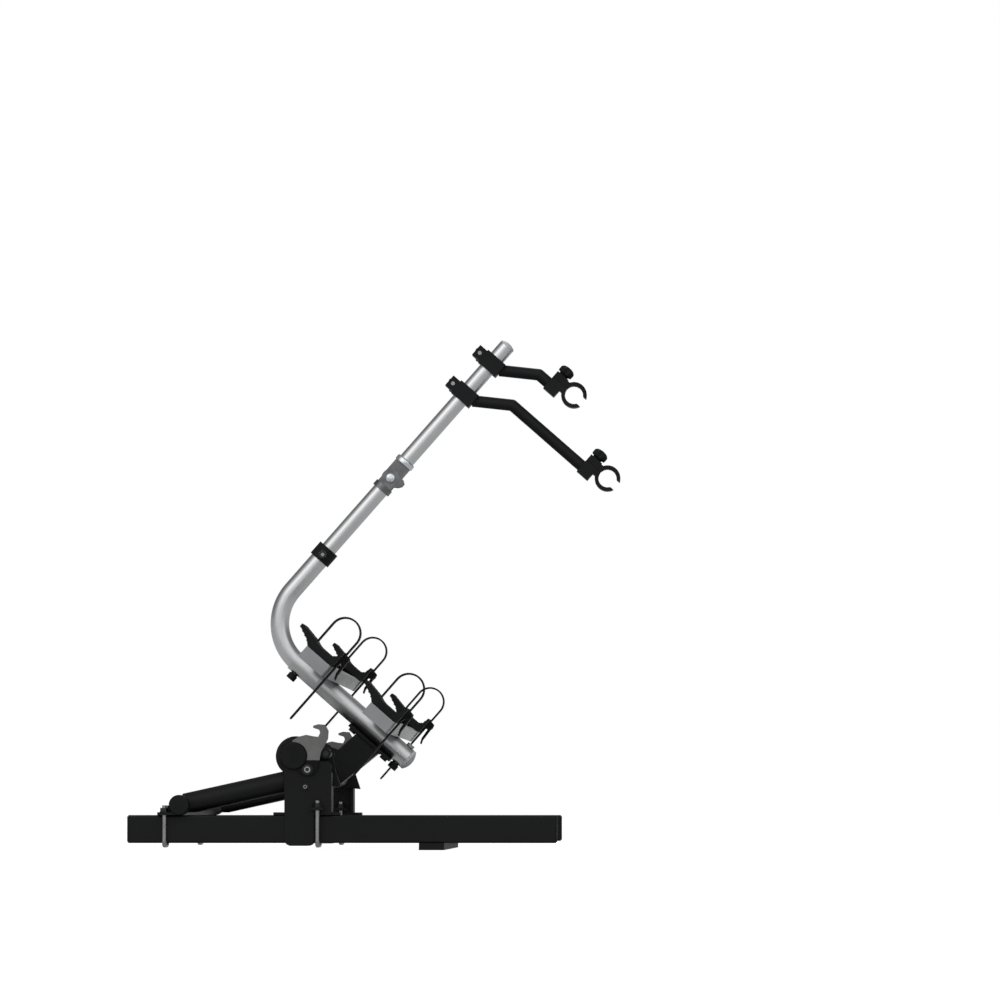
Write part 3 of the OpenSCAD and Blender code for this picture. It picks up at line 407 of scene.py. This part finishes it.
def ringTree(name, finish):  # thread turns stacked along a bolt
    tree, entry, leave = growTree(name, ("Spacing", "Ring radius", "Turn radius"))
    curve, rotation = alongPath(tree, entry, "AUTO")
    loop = addNode(tree, "GeometryNodeCurvePrimitiveCircle", {"Resolution": 24},
                   {"Radius": entry.outputs["Ring radius"]})
    section = addNode(tree, "GeometryNodeCurvePrimitiveCircle", {"Resolution": 4},
                      {"Radius": entry.outputs["Turn radius"]})
    turn = addNode(tree, "GeometryNodeCurveToMesh", None,
                   {"Curve": loop.outputs["Curve"], "Profile Curve": section.outputs["Curve"]})
    laid = addNode(tree, "GeometryNodeInstanceOnPoints", None,
                   {"Points": curve, "Instance": turn.outputs["Mesh"], "Rotation": rotation})
    closeTree(tree, leave, laid.outputs["Instances"], finish)
    return tree


def weldTree(name, finish):  # overlapping drops of a weld seam, a little uneven
    tree, entry, leave = growTree(name, ("Spacing", "Drop radius", "Unevenness"))
    curve, rotation = alongPath(tree, entry, "AUTO")
    drop = addNode(tree, "GeometryNodeMeshIcoSphere", {"Subdivisions": 2},
                   {"Radius": entry.outputs["Drop radius"]})
    low = addNode(tree, "ShaderNodeMath", {"operation": "SUBTRACT", 0: 1.0},
                  {1: entry.outputs["Unevenness"]})
    vary = addNode(tree, "FunctionNodeRandomValue",  # inputs 2 and 3 are its least and most
                   {"data_type": "FLOAT", "Seed": 7, 3: 1.0}, {2: low.outputs["Value"]})
    laid = addNode(tree, "GeometryNodeInstanceOnPoints", None,
                   {"Points": curve, "Instance": drop.outputs["Mesh"], "Rotation": rotation,
                    "Scale": vary.outputs[1]})
    closeTree(tree, leave, laid.outputs["Instances"], finish)
    return tree


def pathMesh(name, paths):  # open or closed runs of points, given as (points, closed)
    shape = bmesh.new()
    for points, closed in paths:
        corners = [shape.verts.new(p) for p in points]
        for first, second in zip(corners, corners[1:]):
            shape.edges.new((first, second))
        if closed:
            shape.edges.new((corners[-1], corners[0]))
    mesh = bpy.data.meshes.new(name)
    shape.to_mesh(mesh)
    shape.free()
    return mesh


def grow(name, paths, tree, sizes, body, smooth=False):
    piece = bpy.data.objects.new(name, pathMesh(name, paths))
    bpy.context.scene.collection.objects.link(piece)
    growth = piece.modifiers.new("growth", "NODES")
    growth.node_group = tree
    sockets = {s.name: s.identifier for s in tree.interface.items_tree if s.in_out == "INPUT"}
    for label, value in sizes.items():
        growth[sockets[label]] = value
    mesh = settled(piece)
    for face in mesh.polygons:
        face.use_smooth = smooth
    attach(piece, body)


def loft(shape, place, rings):  # rings of radii one above the other, closed at both ends
    loops = []
    for height, radii in rings:
        count = len(radii)
        loops.append([shape.verts.new(place @ Vector((
            r * mm * math.cos(2 * math.pi * k / count), r * mm * math.sin(2 * math.pi * k / count),
            height * mm))) for k, r in enumerate(radii)])
    for low, high in zip(loops, loops[1:]):
        for k in range(len(low)):
            n = (k + 1) % len(low)
            shape.faces.new((low[k], low[n], high[n], high[k]))
    shape.faces.new(list(reversed(loops[0])))
    shape.faces.new(loops[-1])


def turnedPiece(name, places, body, finish, crease=35, flatEnds=False):
    shape = bmesh.new()
    for centre, axis, rings in places:
        turn = axis.to_track_quat("Z", "Y").to_matrix().to_4x4()
        loft(shape, Matrix.Translation(centre) @ turn, rings)
    bmesh.ops.recalc_face_normals(shape, faces=shape.faces)
    for face in shape.faces:
        face.smooth = len(face.verts) == 4 or not flatEnds
    mesh = bpy.data.meshes.new(name)
    shape.to_mesh(mesh)
    shape.free()
    mesh.set_sharp_from_angle(angle=math.radians(crease))
    return newPiece(name, mesh, body, finish)


def rounds(levels, around):  # (height, radius) in millimetres, as rings for loft
    return [(height, [radius] * around) for height, radius in levels]


holders = {  # the middle of each wheel holder
    1: (carrier["wheelRailFrontX"], -carrier["holderY"]),
    2: (carrier["wheelRailRearX"], -carrier["holderY"]),
    3: (carrier["wheelRailFrontX"], carrier["holderY"]),
    4: (carrier["wheelRailRearX"], carrier["holderY"]),
}


def holderPoint(place, x, y, z):  # millimetres from the middle of a wheel holder
    return tiltPoint(place[0] + x * mm, place[1] + y * mm, carrier["lipTop"] + z * mm)


strap = {  # millimetres, from the middle of its holder
    "loopX": 4.5, "loopZ": 60, "loopRadius": 28.5,  # the outer face, which carries the teeth
    "footZ": 22, "buckleTop": 34, "buckleFoot": 14, "teethEnd": -112,
    "inner": 30.0, "outer": 33.0, "half": 12.5,  # the tail's two faces and half its width
    "tailStart": -76.0, "tailEnd": -118.0, "tipRadius": 9.0,
}
strapTeeth = {"Spacing": 0.0030, "Bar length": 0.019, "Bar width": 0.0014, "Bar height": 0.0009}


def strapEnd(name, place, body):  # the last stretch of a hanging strap, its tip cut round
    shape = bmesh.new()
    tip = strap["tipRadius"]
    rows = [(strap["tailStart"], strap["half"])]
    for angle in range(0, 91, 10):
        rows.append((strap["tailEnd"] + tip - tip * math.sin(math.radians(angle)),
                     strap["half"] - tip + tip * math.cos(math.radians(angle))))
    loops = []
    for z, half in rows:
        corners = ((strap["inner"], -half), (strap["outer"], -half),
                   (strap["outer"], half), (strap["inner"], half))
        loops.append([shape.verts.new(holderPoint(place, x, y, z)) for x, y in corners])
    for high, low in zip(loops, loops[1:]):
        for k in range(4):
            n = (k + 1) % 4
            shape.faces.new((high[k], high[n], low[n], low[k]))
    shape.faces.new(loops[0])
    shape.faces.new(list(reversed(loops[-1])))
    bmesh.ops.recalc_face_normals(shape, faces=shape.faces)
    mesh = bpy.data.meshes.new(name)
    shape.to_mesh(mesh)
    shape.free()
    newPiece(name, mesh, body, "strap")


def strapRun():  # up from the foot, over the loop and down to the buckle
    rise = strap["loopX"] - strap["loopRadius"]
    fall = strap["loopX"] + strap["loopRadius"]
    over = [(strap["loopX"] - strap["loopRadius"] * math.cos(math.radians(a)),
             strap["loopZ"] + strap["loopRadius"] * math.sin(math.radians(a)))
            for a in range(6, 176, 6)]
    return ([(rise, strap["footZ"]), (rise, strap["loopZ"])] + over
            + [(fall, strap["loopZ"]), (fall, strap["buckleTop"])])


cup = {  # millimetres: the lines that the bars follow inside the tray and under its lip
    "inside": ((-55, 23.6), (-27, 18.8), (-18, 15.0), (-10, 13.6), (10, 13.6), (18, 15.1),
               (23.2, 19.6), (26.2, 32)),
    "insideSide": 40,
    "under": ((-59, 17.4), (-36.4, 7.6), (-28, 1.4)),
}
underBars = {"Spacing": 0.0075, "Bar length": 0.118, "Bar width": 0.0022, "Bar height": 0.0016}
insideBars = dict(underBars, **{"Bar length": 0.040, "Bar height": 0.0013})
toothTree = barTree("StrapTeeth", "strap")
gripTree = barTree("CupBars", "plastic")
for number, place in holders.items():
    node = "strap_%d" % number
    strapEnd("strapEnd_%d" % number, place, bodyOf[node])
    tail = [(strap["outer"], strap["buckleFoot"]), (strap["outer"], strap["teethEnd"])]
    paths = [([holderPoint(place, x, 0, z) for x, z in part], False)
             for part in (strapRun(), tail)]
    grow("strapTeeth_%d" % number, paths, toothTree, strapTeeth, bodyOf[node])
    node = "holder_%d" % number
    paths = [([holderPoint(place, x, 0, z) for x, z in cup["under"]], False)]
    grow("holderRibs_%d" % number, paths, gripTree, underBars, bodyOf[node])
    paths = [([holderPoint(place, x, side * cup["insideSide"], z) for x, z in cup["inside"]],
              False) for side in (-1, 1)]
    grow("cupGrip_%d" % number, paths, gripTree, insideBars, bodyOf[node])
print("straps and cups ribbed")

arms = {  # metres: height of each arm on the post and how far its jaw reaches out
    "short": {"height": 0.781, "reach": 0.155}, "long": {"height": 0.705, "reach": 0.305},
}
crank = {"length": 0.075, "angle": 35, "jawRise": 0.014}  # the bend that lifts the jaw
jawPad = {"radius": 0.0176, "lower": (188, 320), "upper": (38, 174), "step": 4}
padSizes = {"Spacing": 0.0032, "Bar length": 0.027, "Bar width": 0.0021, "Bar height": 0.0014}
padTree = barTree("JawPads", "rubber")


def jawArc(sizes, span):
    turns = [math.radians(a) for a in range(span[0], span[1] + 1, jawPad["step"])]
    return [tiltPoint(sizes["jawX"] + jawPad["radius"] * math.cos(a), 0,
                      sizes["jawZ"] + jawPad["radius"] * math.sin(a)) for a in turns]


for arm, sizes in arms.items():
    crankRise = crank["length"] * math.sin(math.radians(crank["angle"]))
    sizes["jawX"] = carrier["postX"] + sizes["reach"]
    sizes["jawZ"] = sizes["height"] + crankRise + crank["jawRise"]
    for name, node, span in (("PadLower", "_arm", "lower"), ("PadUpper", "_jaw", "upper")):
        grow(arm + name, [(jawArc(sizes, jawPad[span]), False)], padTree, padSizes,
             bodyOf[arm + node])
print("jaw pads grown")

# hand knobs: how many lobes, and height, radius and depth between the lobes at each level
clampKnob = {"lobes": 6, "levels": [(0.0, 8.5, 0), (0.2, 9.0, 0), (2.0, 9.4, 0), (2.6, 12.6, 2.4),
                                    (3.4, 13.6, 3.0), (5.0, 14.0, 3.2), (10.5, 14.0, 3.2),
                                    (12.6, 13.2, 2.8), (14.0, 11.6, 1.6), (15.6, 9.4, 0.4),
                                    (16.6, 6.0, 0), (17.0, 2.0, 0)]}
jawKnob = {"lobes": 7, "levels": [(0.0, 8.5, 0), (0.2, 9.2, 0), (2.2, 9.8, 0), (2.8, 13.4, 2.6),
                                  (3.8, 14.6, 3.2), (5.6, 15.0, 3.4), (11.5, 15.0, 3.4),
                                  (13.6, 14.2, 3.0), (15.4, 12.4, 1.8), (17.2, 9.6, 0.4),
                                  (18.3, 6.0, 0), (18.7, 2.0, 0)]}
lobeShape = {"around": 96, "softness": 1.4, "crease": 50}


def lobedKnob(name, nodeName, centre, axis, sizes):  # soft lobes and a domed top
    def lobe(k):
        wave = math.cos(sizes["lobes"] * 2 * math.pi * k / lobeShape["around"])
        return (0.5 - 0.5 * wave) ** lobeShape["softness"]
    rings = [(height, [radius - depth * lobe(k) for k in range(lobeShape["around"])])
             for height, radius, depth in sizes["levels"]]
    return turnedPiece(name, [(centre, axis, rings)], bodyOf[nodeName], "plastic",
                       lobeShape["crease"], True)


# the screws of the knobs: the rod's radius, and from where to where each one reaches, in
# millimetres from the knob's foot; places and the reach of the thread are in metres
screw = {"radius": 3.68, "around": 32, "jaw": (-38.3, 1), "clamp": (-38, 1)}
jawScrew = {"x": -0.039, "knobZ": 0.0143, "thread": (-0.0238, 0.014)}
clampScrew = {"x": -0.029, "y": 0.0193}
threadSizes = {"Spacing": 0.00125, "Ring radius": 0.00372, "Turn radius": 0.00042}
threadTree = ringTree("ThreadTurns", "zinc")
postAxis = (tiltTurn @ Vector((0, 0, 1))).normalized()
acrossAxis = Vector((0, 1, 0))


def screwRod(name, nodeName, centre, axis, reach):
    rod = rounds([(end, screw["radius"]) for end in reach], screw["around"])
    turnedPiece(name, [(centre, axis, rod)], bodyOf[nodeName], "zinc")


for arm, sizes in arms.items():
    nodeName = arm + "_jaw_knob"
    screwX = sizes["jawX"] + jawScrew["x"]
    centre = tiltPoint(screwX, 0, sizes["jawZ"] + jawScrew["knobZ"])
    knob = lobedKnob(arm + "JawKnob", nodeName, centre, postAxis, jawKnob)
    screwRod(arm + "JawScrew", nodeName, centre, postAxis, screw["jaw"])
    ends = [tiltPoint(screwX, 0, sizes["jawZ"] + h) for h in jawScrew["thread"]]
    grow(arm + "JawThread", [(ends, False)], threadTree, threadSizes, bodyOf[nodeName],
         True)
    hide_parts(nodeName)
    nodeName = arm + "_clamp_knob"
    centre = tiltPoint(carrier["postX"] + clampScrew["x"], clampScrew["y"], sizes["height"])
    knob = lobedKnob(arm + "ClampKnob", nodeName, centre, acrossAxis, clampKnob)
    screwRod(arm + "ClampScrew", nodeName, centre, acrossAxis, screw["clamp"])
    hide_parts(nodeName)
print("knobs turned")

welds = {"Spacing": 0.0026, "Drop radius": 0.0021, "Unevenness": 0.22}
seamTree = weldTree("WeldSeam", "baseSteel")
frameSeam = {  # metres in the tilting frame
    "tubeX": 0.050, "tubeY": 0.3626, "tubeRadius": 0.0212,  # cross tube on the side plates
    "foot": ((0.0290, 0.0052), (0.0716, -0.0030)), "footHalf": 0.029,  # arm on the cross tube
    "flangeZ": 0.0955, "flangeSideX": (0.039, 0.094), "flangeSideY": 0.0303,  # arm's flange
    "flangeEndX": (0.0387, 0.0943),
}


def circleAt(centre, along, radius, count=60):  # a closed ring of points round a tube
    turn = along.to_track_quat("Z", "Y").to_matrix()
    return [centre + turn @ Vector((radius * math.cos(2 * math.pi * k / count),
                                    radius * math.sin(2 * math.pi * k / count), 0))
            for k in range(count)]


def acrossFrame(x, z):  # a straight seam across the tilting arm
    return [tiltPoint(x, -frameSeam["footHalf"], z), tiltPoint(x, frameSeam["footHalf"], z)]


frameSeams = []
for side in (-1, 1):
    ring = circleAt(Vector((frameSeam["tubeX"], side * frameSeam["tubeY"], 0)), acrossAxis,
                    frameSeam["tubeRadius"])
    frameSeams.append(([tiltPlace @ p for p in ring], True))
frameSeams += [(acrossFrame(x, z), False) for x, z in frameSeam["foot"]]
for side in (-1, 1):
    frameSeams.append(([tiltPoint(x, side * frameSeam["flangeSideY"], frameSeam["flangeZ"])
                        for x in frameSeam["flangeSideX"]], False))
frameSeams += [(acrossFrame(x, frameSeam["flangeZ"]), False) for x in frameSeam["flangeEndX"]]
grow("frameWelds", frameSeams, seamTree, welds, "tilting_frame", True)

strutSeam = {  # metres: the strut's two ends, the ring round its upper one and the foot's seam
    "fromX": -0.4506, "fromZ": 0.0805, "toX": carrier["axisX"] - 0.0166,
    "toZ": carrier["axisZ"] - 0.046, "radius": 0.0192, "gap": 0.0003, "around": 72,
    "footX": -0.4638, "footZ": 0.0682, "footHalf": 0.0355,
}
strutTo = Vector((strutSeam["toX"], 0, strutSeam["toZ"]))
strutRun = (strutTo - Vector((strutSeam["fromX"], 0, strutSeam["fromZ"]))).normalized()
strutUp = Vector((-strutRun.z, 0, strutRun.x))
baseSeams = []
for side in (-1, 1):
    y = side * carrier["railY"]
    seam = []
    for k in range(strutSeam["around"]):  # the sloping tube's rim, carried on to the bracket
        a = 2 * math.pi * k / strutSeam["around"]
        rim = (strutTo + strutUp * strutSeam["radius"] * math.sin(a)
               + Vector((0, strutSeam["radius"] * math.cos(a), 0)))
        rim -= strutRun * ((rim.x - strutTo.x + strutSeam["gap"]) / strutRun.x)
        seam.append(rim + Vector((0, y, 0)))
    baseSeams.append((seam, True))
    baseSeams.append(([Vector((strutSeam["footX"], y + end * strutSeam["footHalf"],
                               strutSeam["footZ"])) for end in (-1, 1)], False))
grow("baseWelds", baseSeams, seamTree, welds, "base", True)

boltThread = {"Spacing": 0.00125, "Ring radius": 0.00368, "Turn radius": 0.00045}
boltLegs = (  # metres: x, half the U-bolt's width, and from where to where its thread shows
    (-0.203, 0.0383, 0.0842, 0.0878), (-0.477, 0.0290, 0.0757, 0.0793),
)
ends = [([Vector((x, side * carrier["railY"] + leg * half, z)) for z in (low, high)], False)
        for side in (-1, 1) for leg in (-1, 1) for x, half, low, high in boltLegs]
grow("boltThreads", ends, threadTree, boltThread, "base", True)
print("weld seams and threads laid")

socket = {"chamfer": 0.7, "lip": 0.5, "lipDepth": 0.4, "depth": 0.62, "around": 48}


def hexRadii(size):
    step = math.pi / 3
    return [size / math.cos((2 * math.pi * k / socket["around"]) % step - step / 2)
            for k in range(socket["around"])]


def socketRings(radius, height, key):  # a socket screw's head with its hexagon hole
    shoulder = height - socket["chamfer"]
    outside = rounds([(0.0, radius), (shoulder, radius), (height, radius - socket["chamfer"])],
                     socket["around"])
    return outside + [(height, hexRadii(key + socket["lip"])),
                      (height - socket["lipDepth"], hexRadii(key)),
                      (height - socket["depth"] * height, hexRadii(key))]


hookScrews = (  # x and z from the tilt axis and the plate's face, in metres; radius, height in mm
    (0.025, -0.0245, 0.4346, 8.7, 7.9), (0.021, -0.055, 0.4296, 5.4, 5.5),
)
hookKey = {"key": 0.46, "insert": 0.66, "insertKey": 0.36, "insertRise": 0.5}
boltHeads = []
boltSockets = []
for side in (-1, 1):
    for dx, dz, face, radius, height in hookScrews:
        place = Vector((carrier["axisX"] + dx, side * face, carrier["axisZ"] + dz))
        head = socketRings(radius, height, hookKey["key"] * radius)
        # the light zinc insert is the upper screw's real silver socket; on the lower screw it
        # stands in for a highlight on the dark bolt, a painted highlight
        insert = socketRings(hookKey["insert"] * radius, height + hookKey["insertRise"],
                             hookKey["insertKey"] * radius)
        boltHeads.append((place, side * acrossAxis, head))
        boltSockets.append((place, side * acrossAxis, insert))
turnedPiece("hookScrewHeads", boltHeads, "base", "darkSteel")
turnedPiece("hookScrewSockets", boltSockets, "base", "dullZinc")

collarScrew = {"y": -0.0213, "z": 0.304, "radius": 7.2, "height": 5.2, "key": 3.0,
               "pin": ((1.0, 2.4), (3.2, 2.4), (3.8, 1.7))}
outward = -acrossAxis
centre = tiltPoint(carrier["postX"], collarScrew["y"], collarScrew["z"])
head = socketRings(collarScrew["radius"], collarScrew["height"], collarScrew["key"])
turnedPiece("collarScrewHead", [(centre, outward, head)], "tilting_frame", "darkSteel")
turnedPiece("collarScrewPin", [(centre, outward, rounds(collarScrew["pin"], 24))],
            "tilting_frame", "polished")

hingeDome = {"y": -0.0165, "z": 0.495, "foot": 8.7, "radius": 8.8, "rim": 3.2, "rise": 3.6,
             "fullness": 0.8}
dome = [(0.0, hingeDome["foot"]), (hingeDome["rim"], hingeDome["radius"])]
for angle in range(10, 90, 8):
    a = math.radians(angle)
    dome.append((hingeDome["rim"] + hingeDome["rise"] * math.sin(a),
                 hingeDome["radius"] * math.cos(a) ** hingeDome["fullness"]))
centre = tiltPoint(carrier["postX"], hingeDome["y"], hingeDome["z"])
turnedPiece("hingeBoltDome", [(centre, outward, rounds(dome, 48))], "inner_post", "polished")

hingeRing = {"z": 0.5298, "levels": ((0.0, 18.3), (0.4, 18.8), (1.6, 19.1), (7.6, 19.1),
                                     (9.2, 18.6), (10.4, 17.2), (10.9, 15.4))}
centre = tiltPoint(carrier["postX"], 0, hingeRing["z"])
turnedPiece("hingeRing", [(centre, postAxis, rounds(hingeRing["levels"], 96))], "upper_post",
            "polished")
print("screw heads turned")

railRibs = {"Spacing": 0.0036, "Bar length": 1.196, "Bar width": 0.0011, "Bar height": 0.0007}
railWall = {"half": 0.0270, "low": 0.1462, "high": 0.1625}  # metres, from the rail's middle
ribTree = barTree("RailRibs", "rail")
for name, x in (("wheel_rail_front", carrier["wheelRailFrontX"]),
                ("wheel_rail_rear", carrier["wheelRailRearX"])):
    walls = [([tiltPoint(x + side * railWall["half"], 0, railWall[end])
               for end in ("low", "high")], False) for side in (-1, 1)]
    grow(name + "_ribs", walls, ribTree, railRibs, "tilting_frame")
print("rail ribs drawn")

studio = {
    "floorSize": 60.0, "floorDrop": 0.5, "floorGlow": 0.84,  # half the side in m; drop in mm
    "floorMirror": 0.35, "backdropMirror": 0.5,  # how white both are in glossy pieces
    "backdropFade": (0.20, 0.02),  # height of a ray where the backdrop starts and is full
    "skyLow": 0.22, "skyHigh": 1.25, "skyTowards": (-0.10, -0.88, 0.46), "skyEdge": 0.25,
}
floorMesh = bpy.data.meshes.new("studioFloor")
shape = bmesh.new()
bmesh.ops.create_grid(shape, x_segments=1, y_segments=1, size=studio["floorSize"])
bmesh.ops.translate(shape, verts=shape.verts, vec=(0, 0, -studio["floorDrop"] * mm))
shape.to_mesh(floorMesh)
shape.free()
floor = bpy.data.objects.new("studioFloor", floorMesh)
bpy.context.scene.collection.objects.link(floor)
# matt white paper: it glows evenly for the camera and less in glossy pieces, and lights nothing
floorMaterial, tree, shader = newMaterial("MattPaperFloor", "#b0b0b0", 0.0, 0.9)[:3]
shader.inputs["Emission Color"].default_value = (1, 1, 1, 1)
shader.inputs["Specular IOR Level"].default_value = 0.0
lightPath = addNode(tree, "ShaderNodeLightPath")
seen = addNode(tree, "ShaderNodeMath",
               {"operation": "MULTIPLY_ADD", "use_clamp": True, 1: studio["floorMirror"]},
               {0: lightPath.outputs["Is Glossy Ray"], 2: lightPath.outputs["Is Camera Ray"]})
through = addNode(tree, "ShaderNodeMath", {"operation": "MAXIMUM"},
                  {0: seen.outputs["Value"], 1: lightPath.outputs["Is Transmission Ray"]})
glow = addNode(tree, "ShaderNodeMath", {"operation": "MULTIPLY", 1: studio["floorGlow"]},
               {0: through.outputs["Value"]})
tree.links.new(glow.outputs["Value"], shader.inputs["Emission Strength"])
floorMesh.materials.append(floorMaterial)

world = bpy.data.worlds.new("studioSky")
world.use_nodes = True
bpy.context.scene.world = world
sky = world.node_tree
background = sky.nodes["Background"]
background.inputs["Color"].default_value = (1, 1, 1, 1)
skyCoords = addNode(sky, "ShaderNodeTexCoord")
towards = addNode(sky, "ShaderNodeVectorMath",
                  {"operation": "DOT_PRODUCT", 1: studio["skyTowards"]},
                  {0: skyCoords.outputs["Generated"]})
lobe = addNode(sky, "ShaderNodeMapRange",  # brightest behind and above the camera
               {"interpolation_type": "SMOOTHSTEP", "From Min": studio["skyEdge"],
                "From Max": 1.0, "To Min": studio["skyLow"], "To Max": studio["skyHigh"]},
               {"Value": towards.outputs["Value"]})
sky.links.new(lobe.outputs["Result"], background.inputs["Strength"])
white = addNode(sky, "ShaderNodeBackground", {"Color": (1, 1, 1, 1), "Strength": 1.0})
path = addNode(sky, "ShaderNodeLightPath")
height = addNode(sky, "ShaderNodeSeparateXYZ", None, {"Vector": skyCoords.outputs["Generated"]})
level = addNode(sky, "ShaderNodeMath", {"operation": "ABSOLUTE"}, {0: height.outputs["Z"]})
backdrop = addNode(sky, "ShaderNodeMapRange",  # the pale backdrop stands along the horizon
                   {"From Min": studio["backdropFade"][0], "From Max": studio["backdropFade"][1],
                    "To Max": studio["backdropMirror"]},
                   {"Value": level.outputs["Value"]})
inMetal = addNode(sky, "ShaderNodeMath", {"operation": "MULTIPLY_ADD"},
                  {0: path.outputs["Is Glossy Ray"], 1: backdrop.outputs["Result"],
                   2: path.outputs["Is Camera Ray"]})
pale = addNode(sky, "ShaderNodeMath", {"operation": "MAXIMUM", "use_clamp": True},
               {0: inMetal.outputs["Value"], 1: path.outputs["Is Transmission Ray"]})
joined = addNode(sky, "ShaderNodeMixShader", None,
                 {0: pale.outputs["Value"], 1: background.outputs["Background"],
                  2: white.outputs["Background"]})
sky.links.new(joined.outputs["Shader"], sky.nodes["World Output"].inputs["Surface"])
print("floor and sky made")

lamps = {  # place, size in metres and power in watts; all of them look at the part's middle
    "keyLamp": ((-2.2, -3.6, 3.4), 2.8, 22.0),
    "fillLamp": ((3.4, -2.8, 1.8), 2.2, 10.0),
    "backLamp": ((0.4, 2.6, 3.6), 2.6, 24.0),
}
view = {"place": (0.335, -10.0, 0.063), "aim": (0.113, 0.0, 0.6505), "angle": 10.66,
        "sensor": 36.0, "far": 100.0}


def setUp(name, data, place, aim):  # puts a lamp or the camera in its place, looking at aim
    thing = bpy.data.objects.new(name, data)
    bpy.context.scene.collection.objects.link(thing)
    thing.location = place
    thing.rotation_euler = (Vector(aim) - Vector(place)).to_track_quat("-Z", "Y").to_euler()
    return thing


for name, (place, size, power) in lamps.items():
    lamp = bpy.data.lights.new(name, "AREA")
    lamp.size = size
    lamp.energy = power
    setUp(name, lamp, place, (0, 0, 0.4))
lens = bpy.data.cameras.new("photoCamera")
lens.sensor_width = view["sensor"]
lens.lens = view["sensor"] / 2 / math.tan(math.radians(view["angle"]) / 2)
lens.clip_end = view["far"]
bpy.context.scene.camera = setUp("photoCamera", lens, view["place"], view["aim"])
bpy.context.scene.view_settings.view_transform = "Standard"
print("lamps and camera set")
